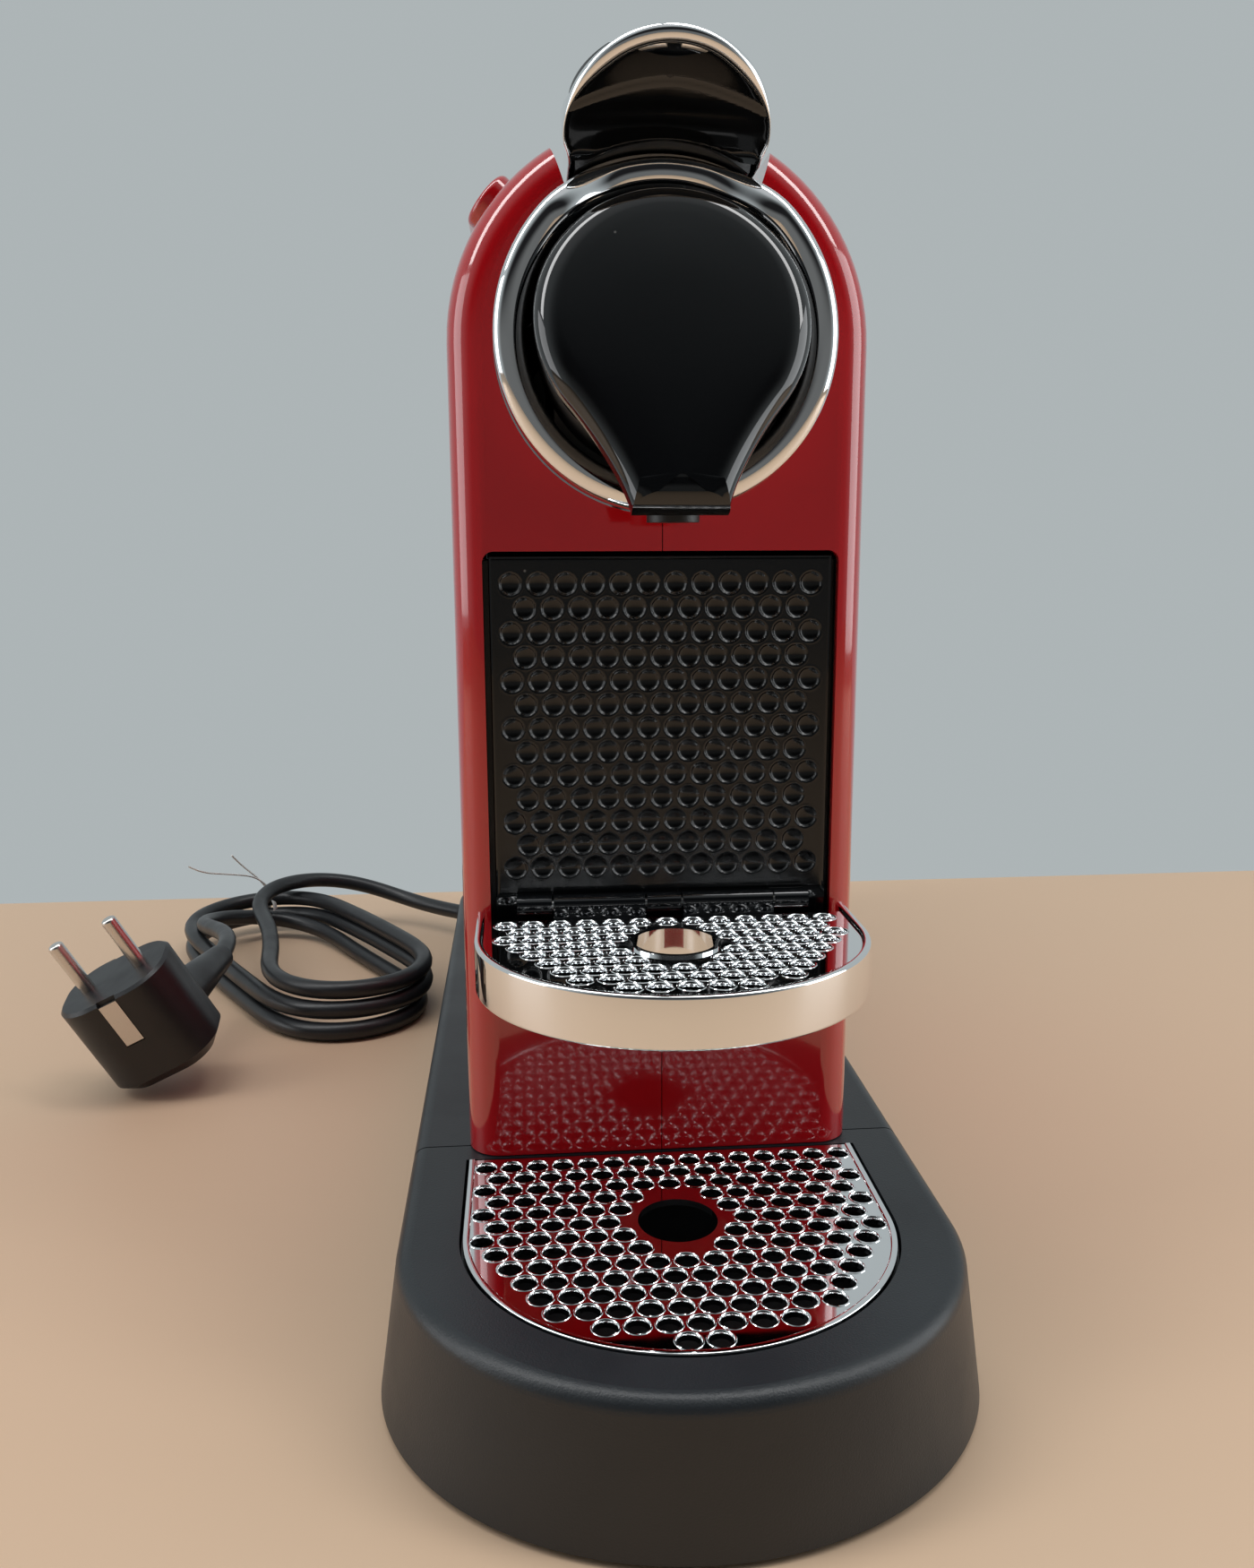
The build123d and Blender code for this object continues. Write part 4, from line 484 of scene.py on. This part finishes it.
def smooth_curve(name, points, radius, finish):
    """Round cable along a NURBS spline of order 4 that the points pull into shape."""
    data = bpy.data.curves.new(name, "CURVE")
    data.dimensions = "3D"
    spline = data.splines.new("NURBS")
    spline.points.add(len(points) - 1)
    spline.points.foreach_set("co", np.column_stack([np.asarray(points) * MM, np.ones(len(points))]).ravel())
    spline.order_u = 4
    spline.use_endpoint_u = True
    spline.resolution_u = 8
    data.bevel_depth = radius * MM
    data.bevel_resolution = 5
    data.use_fill_caps = True
    piece = bpy.data.objects.new(name, data)
    bpy.context.scene.collection.objects.link(piece)
    data.materials.append(finishes[finish])
    return piece


mains_cord = smooth_curve("mains_cord", cord_points, CORD_RADIUS, "cord_black")
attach(mains_cord, "machine")
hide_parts("cord_lead", "cord_coil", "cord_tail")

# %% [markdown]
# A pale plastic tie holds two turns of the coil together at its far end, and its thin wire core sticks
# up above the cable in two crooked tails. All three are short lengths of round wire: the band is a closed
# ring of small sections round its points, and the cable's own curve function makes the two tails, with a
# point list for each.

# %% Tie round the coil
TIE_ALONG = 70.0
TIE_RADIUS = 0.55
tie_turn = np.linspace(0.0, 2 * math.pi, 17)[:-1]
loop_across = 4.8 * np.cos(tie_turn) + 0.4
loop_height = 8.0 + 8.3 * np.sin(tie_turn)
tie_loop = on_table(TIE_ALONG + 0 * tie_turn + 4.3 * np.cos(tie_turn), -10 + 0 * loop_across, loop_height)
WIRE_TAILS = {
    "tie_wire_long": [(66, -9, 17.0), (64, -7, 23.0), (67, -2, 28.0), (62, 6, 31.0), (64, 16, 33.0),
                      (60, 25, 35.5), (62, 30, 39.0)],
    "tie_wire_short": [(67, -9, 17.0), (69, -6, 24.0), (66, -1, 29.0), (68, 5, 35.0), (66, 9, 40.0)],
}


def ring_wire(name, centres, radius, sides=8):
    """Closed ring of wire: circles of the given radius round each point of a closed line."""
    ahead = np.roll(centres, -1, axis=0) - np.roll(centres, 1, axis=0)
    ahead /= np.linalg.norm(ahead, axis=1, keepdims=True)
    middle = centres.mean(axis=0)
    outward = centres - middle
    outward /= np.linalg.norm(outward, axis=1, keepdims=True)
    across = np.cross(ahead, outward)
    turn = np.linspace(0.0, 2 * math.pi, sides, endpoint=False)[None, :, None]
    points = (centres[:, None] + 0.5 * radius * np.cos(turn) * outward[:, None]
              + 2.0 * radius * np.sin(turn) * across[:, None])
    return make_piece(name, "machine", "tie_white", points,
                      grid_faces(len(centres), sides, closed_rows=True, closed_columns=True),
                      stands_for=("cord_tie",))


ring_wire("tie_band", tie_loop, TIE_RADIUS)
for tail_name, tail_spots in WIRE_TAILS.items():
    spots = np.array(tail_spots, float)
    wire = smooth_curve(tail_name, on_table(spots[:, 0], spots[:, 1], spots[:, 2]), 0.4, "tie_white")
    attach(wire, "machine")

# %% [markdown]
# The chrome ring round the outlet is a body of revolution: a wide rounded lip at the front, a short slope
# that falls inwards to the throat, and a flange that holds it behind the shells. Its profile is a
# line of (radius, y) points with most of half an ellipse for the lip and a power curve for the slope,
# and the profile turned round the brew axis gives the ring. Towards the top the whole front steps back
# smoothly, because the lever's foot lies over it there.

# %% Chrome ring
ring_low, ring_high = node_box("head_ring")
NOTCH_START = 15.0  # degrees from the top: the lip stands back up to here, under the lever
NOTCH_END = 46.0  # from here on it is in its full place
NOTCH_DEPTH = 6.0
LIP_HALF = 3.3  # half the lip's width
LIP_DEEP = 2.4
SLOPE_DEEP = 8.2
FLANGE_THICK = 2.1
FLANGE_LIP = 2.0  # the flange is this much larger than the ring that shows
ring_centre_z = (ring_low[2] + ring_high[2]) / 2
ring_radius = (ring_high[0] - ring_low[0]) / 2 - FLANGE_LIP
ring_tip = ring_low[1]
ring_back = ring_high[1]
throat = ring_radius - 7.1


def spun(profile, centre, steps=192):
    """Points of a profile of (radius, y) turned round the Y axis through centre = (x, z)."""
    turn = np.linspace(0.0, 2 * math.pi, steps, endpoint=False)[:, None]
    radius, y = np.asarray(profile, float).T
    return np.stack([centre[0] + radius * np.cos(turn), np.broadcast_to(y, (steps, len(y))),
                     centre[1] + radius * np.sin(turn)], axis=-1)


lip_turn = np.linspace(0.0, math.pi * 0.94, 22)
lip_profile = np.column_stack([ring_radius - LIP_HALF + LIP_HALF * np.cos(lip_turn),
                               ring_tip + LIP_DEEP - LIP_DEEP * np.sin(lip_turn)])
slope_share = np.linspace(0.0, 1.0, 14)[1:]
slope_start = lip_profile[-1]
slope_profile = np.column_stack([
    slope_start[0] + (throat - slope_start[0]) * slope_share,
    slope_start[1] + (ring_tip + SLOPE_DEEP - slope_start[1]) * slope_share ** 1.7])
ring_profile = np.concatenate([
    [(ring_radius + FLANGE_LIP, ring_back - FLANGE_THICK), (ring_radius, ring_back - FLANGE_THICK),
     (ring_radius, ring_tip + 6.0)],
    lip_profile, slope_profile,
    [(throat, ring_back), (ring_radius + FLANGE_LIP, ring_back)]])
ring_points = spun(ring_profile, (0.0, ring_centre_z))
from_top = np.degrees(np.abs(np.arctan2(ring_points[..., 0], ring_points[..., 2] - ring_centre_z)))
set_back = NOTCH_DEPTH * (1.0 - smooth_step(from_top, NOTCH_START, NOTCH_END))
shifted = np.minimum(ring_points[..., 1] + set_back, ring_back - 2.2)
ring_points[..., 1] = np.maximum(ring_points[..., 1], shifted)
make_piece("chrome_ring", "machine", "chrome", ring_points,
           grid_faces(*ring_points.shape[:2], closed_rows=True, closed_columns=True),
           stands_for=("head_ring", "ring_brow"), crease=50.0)

# %% [markdown]
# The black drop-shaped cover in front of the brew unit is one moulding: a nearly flat face, a wide
# rounded bevel and a thin side wall. Its outline is a large circle whose flanks bend inwards to a flat
# tip. The surface is that outline carried inwards in steps: each step is a row of the grid, set in from
# the outline along its normals and raised by the bevel's quarter of an ellipse, and the last row lies
# on the cover's middle line, where it closes.

# %% Drop-shaped cover
COVER_TILT = math.radians(19.8)
COVER_RADIUS = 28.2
COVER_THICK = 6.5
COVER_DROP = 40.8
TIP_HALF = 9.7
FLANK_START = math.radians(38.0)  # below the horizontal, where the flanks leave the circle
FLANK_PULL = 13.0  # length of the handle at the circle
BEVEL_WIDE = 5.4
BEVEL_DEEP = 4.3
cover_up = np.array([0.0, math.sin(COVER_TILT), math.cos(COVER_TILT)])
cover_out = np.array([0.0, -math.cos(COVER_TILT), math.sin(COVER_TILT)])
cover_origin = np.array([0.0, ring_tip - 11.8, ring_centre_z + 2.9])


def bezier(points, count):
    """Points along a cubic curve given by its two ends and two handles."""
    t = np.linspace(0.0, 1.0, count, endpoint=False)[:, None]
    a, b, c, d = np.asarray(points, float)
    return (1 - t) ** 3 * a + 3 * (1 - t) ** 2 * t * b + 3 * (1 - t) * t ** 2 * c + t ** 3 * d


def drop_outline():
    """Closed line: arc over the top, a flank to the tip, the flat tip, and the other flank."""
    arc_turn = np.linspace(-FLANK_START, math.pi + FLANK_START, 120, endpoint=False)
    arc = COVER_RADIUS * np.column_stack([np.cos(arc_turn), np.sin(arc_turn)])
    side = np.array([-COVER_RADIUS * math.cos(FLANK_START), -COVER_RADIUS * math.sin(FLANK_START)])
    slope = np.array([math.sin(FLANK_START), -math.cos(FLANK_START)])
    tip = np.array([-TIP_HALF, -COVER_DROP])
    left = bezier([side, side + FLANK_PULL * slope, tip + [-0.3, 3.5], tip], 30)
    bottom = np.column_stack([np.linspace(-TIP_HALF, TIP_HALF, 14, endpoint=False), np.full(14, -COVER_DROP)])
    right = bezier([tip * [-1, 1], tip * [-1, 1] + [0.3, 3.5], side * [-1, 1] + FLANK_PULL * slope * [-1, 1],
                    side * [-1, 1]], 30)
    return np.concatenate([arc, left, bottom, right])


def inward_normals(line):
    """Unit normals of a closed counter-clockwise line, pointing to its inside, softened at corners."""
    ahead = np.roll(line, -1, axis=0) - np.roll(line, 1, axis=0)
    normals = np.column_stack([-ahead[:, 1], ahead[:, 0]])
    for _ in range(3):
        normals = np.roll(normals, 1, axis=0) + 2 * normals + np.roll(normals, -1, axis=0)
    return normals / np.linalg.norm(normals, axis=1, keepdims=True)


def on_cover(flat, depth):
    """Points in the cover's own plane, and behind it by depth, in the machine's frame."""
    return (cover_origin + flat[..., :1] * [1.0, 0.0, 0.0] + flat[..., 1:2] * cover_up
            - np.asarray(depth)[..., None] * cover_out)


def build_cover():
    """Rows from the back plane's middle line, out to the edge, over the bevel and in to the front's."""
    outline = drop_outline()
    inward = inward_normals(outline)
    corner = np.linspace(0.0, math.pi / 2, 12)
    insets = BEVEL_WIDE * (1 - np.cos(corner))
    depths = BEVEL_DEEP * (1 - np.sin(corner))
    middle = outline.copy()
    middle[:, 0] = 0.0
    middle[:, 1] = np.clip(outline[:, 1], -COVER_DROP + BEVEL_WIDE + 1.0, 6.0)
    rim = outline + BEVEL_WIDE * inward
    rows = [(outline + 0.8 * inward, COVER_THICK), (outline, COVER_THICK - 0.4)]
    rows += [(outline + inset * inward, depth) for inset, depth in zip(insets, depths)]
    rows += [(rim + share * (middle - rim), -0.25 * math.sin(share * math.pi / 2))
             for share in (0.15, 0.35, 0.6, 0.8, 1.0)]
    rows = [(middle, COVER_THICK)] + rows
    points = np.stack([on_cover(flat, np.full(len(flat), depth)) for flat, depth in rows])
    return make_piece("drop_cover", "machine", "gloss_black", points,
                      grid_faces(*points.shape[:2], closed_columns=True), stands_for=("outlet_cover",),
                      crease=60.0)


build_cover()

# %% [markdown]
# The lever lies along the top and ends in a raised tongue. Its chrome shell wraps round the sides of a
# black concave insert, and a thick rounded rim shows in front. Seen square to the insert the outline is
# a long tongue with an elliptical end. The shell is a sheet in rows: from inside the rim, over the
# rim's half circle, up the wall, round the top edge and across the top to the middle line. How high the
# wall stands follows the side view of the lever, a low arch over its length.

# %% Lever: outline and side view
lever_low, lever_high = node_box("lever_handle")
LEVER_HALF = 20.2
RIM_WIDE = 3.4  # round the end
RIM_THIN = 0.8  # at the foot
TOP_ROUND = 2.2
LEAN = math.radians(46.0)
tip_y = lever_low[1]
tip_z = lever_high[2] - 1.3
lever_rear = lever_high[1]
lever_bottom = lever_low[2]
crest_z = tip_z - 6.8
foot_y = tip_y + (tip_z - 1.5 - lever_bottom) / math.tan(LEAN)
lever_origin = np.array([0.0, foot_y, lever_bottom])
lever_along = np.array([0.0, -math.cos(LEAN), math.sin(LEAN)])
lever_deep = np.array([0.0, math.sin(LEAN), math.cos(LEAN)])
tongue = (tip_z - lever_bottom) / math.sin(LEAN)


def lever_outline(inset, sides=40, end=72):
    """Half width and place along the tongue, from the left rear round the end to the right rear."""
    wide = LEVER_HALF + 1.4 - inset
    belly = tongue - (LEVER_HALF + 1.4) * 0.98
    rear = -(lever_rear - foot_y) * math.cos(LEAN)
    along = np.linspace(rear, belly, sides, endpoint=False)
    half = LEVER_HALF - inset + 1.4 * smooth_step(along, 0.0, belly)
    turn = np.linspace(0.0, math.pi, end)
    left = np.column_stack([-half, along])
    round_end = np.column_stack([-wide * np.cos(turn), belly + (tongue - inset - belly) * np.sin(turn)])
    return np.concatenate([left, round_end, left[::-1] * [-1.0, 1.0]])


def crest_height(y):
    """Height of the lever's top over its length: flat behind, a low arch, and a rise to the tip."""
    rise = 1.2 * np.exp(-((y - tip_y - 14.0) / 9.0) ** 2)
    lift = (tip_z - 1.6 - crest_z) * smooth_step(tip_y + 12.0 - y, 0.0, 12.0)
    return crest_z + rise + lift


def top_depth(flat):
    """How far behind the insert's plane the lever's top lies, found by halving the distance."""
    near, far = np.zeros(len(flat)), np.full(len(flat), 90.0)
    for _ in range(40):
        middle = (near + far) / 2
        spot = lever_origin + flat[:, 1:2] * lever_along + middle[:, None] * lever_deep
        crown = 1.6 * (flat[:, 0] / LEVER_HALF) ** 2
        below = spot[:, 2] < crest_height(spot[:, 1]) - crown
        near, far = np.where(below, middle, near), np.where(below, far, middle)
    return middle


def on_lever(flat, depth):
    """Points on the insert's plane, or behind it by depth."""
    return (lever_origin + flat[:, :1] * [1.0, 0.0, 0.0] + flat[:, 1:2] * lever_along
            + np.asarray(depth)[:, None] * lever_deep)


def rim_width(along):
    """Width of the chrome rim: full round the tongue's end, thin towards its foot."""
    return RIM_THIN + (RIM_WIDE - RIM_THIN) * smooth_step(along / tongue, 0.3, 0.85)


print("lever: tongue", round(tongue, 1), "mm long, foot at y", round(foot_y, 1))

# %% Lever: chrome shell and black insert


def build_lever():
    """Chrome sheet from inside the rim, over it and up the wall to the top's middle line."""
    outline = lever_outline(0.0)
    inward = lever_outline(1.0) - outline
    rim = rim_width(outline[:, 1:])
    floor = np.maximum(0.0, -outline[:, 1] * math.tan(LEAN))
    middle = np.column_stack([np.zeros(len(outline)), np.minimum(outline[:, 1], tongue - 9.0)])
    rows = [on_lever(outline + rim * inward, floor + 2.6)]
    for turn in np.linspace(0.0, math.pi, 11):
        bulge = rim / 2 * (1 + math.cos(turn))
        rows.append(on_lever(outline + bulge * inward, floor + 1.7 - 1.7 * math.sin(turn)))
    height = top_depth(outline)
    for share in (0.3, 0.7, 1.0):
        wall = np.maximum(height - TOP_ROUND - floor - 1.7, 0.0)
        rows.append(on_lever(outline, floor + 1.7 + share * wall))
    for turn in np.linspace(0.2, math.pi / 2, 7):
        flat = outline + TOP_ROUND * (1 - math.cos(turn)) * inward
        drop = TOP_ROUND * (1 - math.sin(turn))
        rows.append(on_lever(flat, np.maximum(top_depth(flat) - drop, floor + 1.7)))
    edge = outline + TOP_ROUND * inward
    for share in (0.15, 0.35, 0.6, 0.8, 1.0):
        flat = edge + share * (middle - edge)
        rows.append(on_lever(flat, top_depth(flat)))
    points = np.stack(rows)
    low = brow_clearance(points)
    points[..., 2] = np.maximum(points[..., 2], low)
    points[..., 1] = np.minimum(points[..., 1], lever_rear)
    return make_piece("lever_shell", "lever", "chrome", points, grid_faces(*points.shape[:2]),
                      stands_for=("lever_handle",), crease=60.0)


brow_high = node_box("ring_brow")[1]
brow_radius = brow_high[2] - ring_centre_z + 0.7


def brow_clearance(points):
    """Lowest height a lever point may have: above the lever's bottom, and outside the brow's arc."""
    inside = np.clip(brow_radius ** 2 - points[..., 0] ** 2, 0.0, None)
    over_ring = (points[..., 1] < brow_high[1] + 7.0) & (inside > 0)
    return np.where(over_ring, np.maximum(lever_bottom, ring_centre_z + np.sqrt(inside)), lever_bottom)


def build_insert():
    """Black dish inside the rim: a grid over the tongue whose depth grows smoothly from its edge."""
    across = np.linspace(-1.0, 1.0, 61)[None, :]
    along = np.linspace(0.0, 1.0, 61)[:, None]
    belly = tongue - (LEVER_HALF + 1.4) * 0.98
    end = tongue - RIM_WIDE + 0.6
    y = end * np.sin(along * math.pi / 2)
    reach = np.sqrt(np.clip(1 - (np.clip(y - belly, 0, None) / (end - belly)) ** 2, 0.0, 1.0))
    half = (LEVER_HALF + 0.6 - rim_width(y) + 1.4 * smooth_step(y, 0.0, belly)) * reach
    x = across * half
    from_edge = 1 - np.abs(across)
    ahead = np.clip((end - y) / 14.0, 0.0, 1.0)
    bowl = 1.2 + 2.4 * np.sqrt(np.clip(from_edge, 0, 1)) * np.sqrt(ahead)
    crescent = smooth_step((end - y) - 7.5 - 5.0 * across ** 2, 0.0, 1.6)
    depth = bowl - 0.7 * crescent
    flat = np.stack(np.broadcast_arrays(x, y), axis=-1).reshape(-1, 2)
    points = on_lever(flat, np.broadcast_to(depth, x.shape).ravel())
    points[:, 2] = np.maximum(points[:, 2], brow_clearance(points))
    insert = make_piece("lever_insert", "lever", "gloss_black", points, grid_faces(61, 61),
                        stands_for=("lever_underside",), crease=60.0)
    return insert


build_lever()
build_insert()

# %% [markdown]
# The capsule bin's front is one moulded panel with a field of shallow bowls. It is a fine grid whose
# depth comes from one formula: how far each point is from the nearest bowl's centre. A bowl has a small
# raised lip, which is what glints, and the panel's four edges curve back a little.

# %% Dimpled panel
PANEL_HALF = 38.75
PANEL_LOW = 98.3
PANEL_TOP = 176.3
BOWL_PITCH = 6.2
BOWL_ROW = 5.45
BOWL_RADIUS = 2.5
BOWL_ROWS = 13
PANEL_FACE = node_box("head_ring")[0][1] + 11.9


def bowl_centres():
    """Staggered centres, twelve and eleven to a row, from the panel's top edge down."""
    centres = []
    for row in range(BOWL_ROWS):
        count = 12 - row % 2
        x = (np.arange(count) - (count - 1) / 2) * BOWL_PITCH
        centres.append(np.column_stack([x, np.full(count, PANEL_TOP - 6.0 - row * BOWL_ROW)]))
    return np.concatenate(centres)


def build_panel(step=0.3):
    """Height field in x and z: bowls, their lips, and edges that curve back."""
    x = np.linspace(-PANEL_HALF, PANEL_HALF, int(2 * PANEL_HALF / step))[None, :]
    z = np.linspace(PANEL_LOW, PANEL_TOP + 0.05, int((PANEL_TOP - PANEL_LOW) / step))[:, None]
    nearest = np.full((z.size, x.size), 99.0)
    for centre_x, centre_z in bowl_centres():
        nearest = np.minimum(nearest, np.hypot(x - centre_x, z - centre_z))
    bowl = 1.05 * np.sqrt(np.clip(1 - (nearest / BOWL_RADIUS) ** 2, 0.0, 1.0))
    lip = 0.07 * np.exp(-((nearest - BOWL_RADIUS - 0.2) / 0.16) ** 2)
    from_sides = np.minimum(x + PANEL_HALF, PANEL_HALF - x)
    from_ends = np.minimum(z - PANEL_LOW, PANEL_TOP + 0.05 - z)
    from_edge = np.minimum(from_sides, from_ends)
    back = 0.5 * (1 - np.sqrt(np.clip(1 - np.clip(1 - from_edge / 0.9, 0.0, 1.0) ** 2, 0.0, 1.0)))
    y = PANEL_FACE - lip + bowl + back
    points = np.stack(np.broadcast_arrays(x, y, z), axis=-1)
    return make_piece("panel_face", "container", "gloss_black", points, grid_faces(*y.shape), crease=80.0,
                      finish="panel_black")


build_panel()

# %% [markdown]
# Both grids are plated plates with a drawn collar round every hole. A collar is a small profile of
# (radius, height) turned round the hole's axis, and one list of hole centres, worked out from the
# pitch, places them all. The plate itself keeps its holes from the mechanical model.

# %% Collars round the holes
HOLE_PITCH = 6.1
HOLE_MARGIN = 4.1
SPOUT_CLEAR = 12.7
COLLAR = [(2.49, -1.2), (2.98, 0.0), (2.86, 0.13), (2.62, 0.16), (2.44, 0.0), (2.34, -0.5), (2.26, -1.5),
          (2.49, -1.2)]


def hole_centres(half, front, rear, depth, spout_y):
    """Staggered centres inside a D-shaped plate, clear of its edge and of its round spout hole."""
    row_pitch = HOLE_PITCH * math.sqrt(3) / 2
    centres = []
    for row in range(int((rear - front) / row_pitch)):
        y = rear - HOLE_MARGIN - row * row_pitch
        x = (np.arange(-9, 10) + 0.5 * (row % 2)) * HOLE_PITCH
        past = max(0.0, front + depth - y) / (depth - HOLE_MARGIN)
        reach = math.sqrt(max(0.0, 1.0 - past * past))
        kept = (np.abs(x) <= (half - HOLE_MARGIN) * reach) & (np.hypot(x, y - spout_y) > SPOUT_CLEAR)
        centres.append(np.column_stack([x[kept], np.full(kept.sum(), y)]))
    return np.concatenate(centres)


def build_collars(name, body, centres, top, steps=16):
    """One small turned collar at every centre, all in one mesh."""
    turn = np.linspace(0.0, 2 * math.pi, steps, endpoint=False)[:, None]
    radius, height = np.array(COLLAR).T
    ring = np.stack([radius * np.cos(turn), radius * np.sin(turn),
                     np.broadcast_to(top + height, (steps, len(height)))], axis=-1)
    shift = np.column_stack([centres, np.zeros(len(centres))])[:, None, None]
    points = ring[None] + shift
    one = grid_faces(steps, len(radius), closed_rows=True)
    faces = (np.arange(len(centres))[:, None, None] * ring.size // 3 + one[None]).reshape(-1, 4)
    return make_piece(name, body, "chrome", points, faces, crease=40.0)


GRIDS = {
    "shelf": ("cup_shelf", "shelf_grid", (41.4, -151.6, -99.1, 38.1, -118.8)),
    "drip": ("drip_grid", "drip_grid", (46.9, -171.8, -94.6, 43.7, -125.5)),
}
for grid_name, (grid_body, grid_node, grid_shape) in GRIDS.items():
    build_collars(grid_name + "_collars", grid_body, hole_centres(*grid_shape), node_box(grid_node)[1][2])

# %% [markdown]
# The cup shelf is edged with a chrome band bent to a D, and the lower grid ends in a narrow raised
# bead. Both are a small section carried along the same kind of path: straight sides and an elliptical
# front. Setting the path in by a distance moves the section inwards, so a section is a list of
# (inset, height) points.

# %% Chrome band and bead
ARC_STEPS = 96
SIDE_STEPS = 6


def d_path(half, front, rear, depth, inset):
    """D-shaped line set in by inset: rear left corner, round the elliptical front, rear right corner."""
    turn = np.linspace(0.0, math.pi, ARC_STEPS)
    x = -(half - inset) * np.cos(turn)
    y = front + depth - (depth - inset) * np.sin(turn)
    sides = np.linspace(rear, front + depth, SIDE_STEPS, endpoint=False)
    left = np.column_stack([np.full(SIDE_STEPS, inset - half), sides])
    return np.concatenate([left, np.column_stack([x, y]), left[::-1] * [-1.0, 1.0]])


def round_section(wide, low, high, corner, steps=6):
    """Rounded rectangle as (inset, height) points, anticlockwise from its lower outer corner."""
    turn = np.linspace(0.0, math.pi / 2, steps)
    points = []
    for inset, height, start in ((corner, low + corner, math.pi),
                                 (wide - corner, low + corner, 1.5 * math.pi),
                                 (wide - corner, high - corner, 0.0),
                                 (corner, high - corner, math.pi / 2)):
        points.append(np.column_stack([inset + corner * np.cos(turn + start),
                                       height + corner * np.sin(turn + start)]))
    return np.concatenate(points)


def carry_section(name, body, section, shape, stands_for=()):
    """Section points carried along their own inset paths, with both ends drawn to a point."""
    paths = np.stack([np.column_stack([d_path(*shape, inset), np.full(ARC_STEPS + 2 * SIDE_STEPS, height)])
                      for inset, height in section])
    middle = paths.mean(axis=0, keepdims=True)
    paths = np.concatenate([np.broadcast_to(middle[:, :1], (len(section), 1, 3)), paths,
                            np.broadcast_to(middle[:, -1:], (len(section), 1, 3))], axis=1)
    return make_piece(name, body, "chrome", paths, grid_faces(*paths.shape[:2], closed_rows=True),
                      stands_for=stands_for, crease=50.0)


band_low, band_high = node_box("shelf_band")
carry_section("shelf_edge", "cup_shelf", round_section(1.8, band_low[2], band_high[2], 0.75),
              (band_high[0], band_low[1], band_high[1], 40.0), stands_for=("shelf_band",))
plate_top = node_box("drip_grid")[1][2]
carry_section("drip_bead", "drip_grid", round_section(1.5, plate_top - 0.4, plate_top + 0.35, 0.35),
              (46.9, -171.8, -94.6, 43.7))
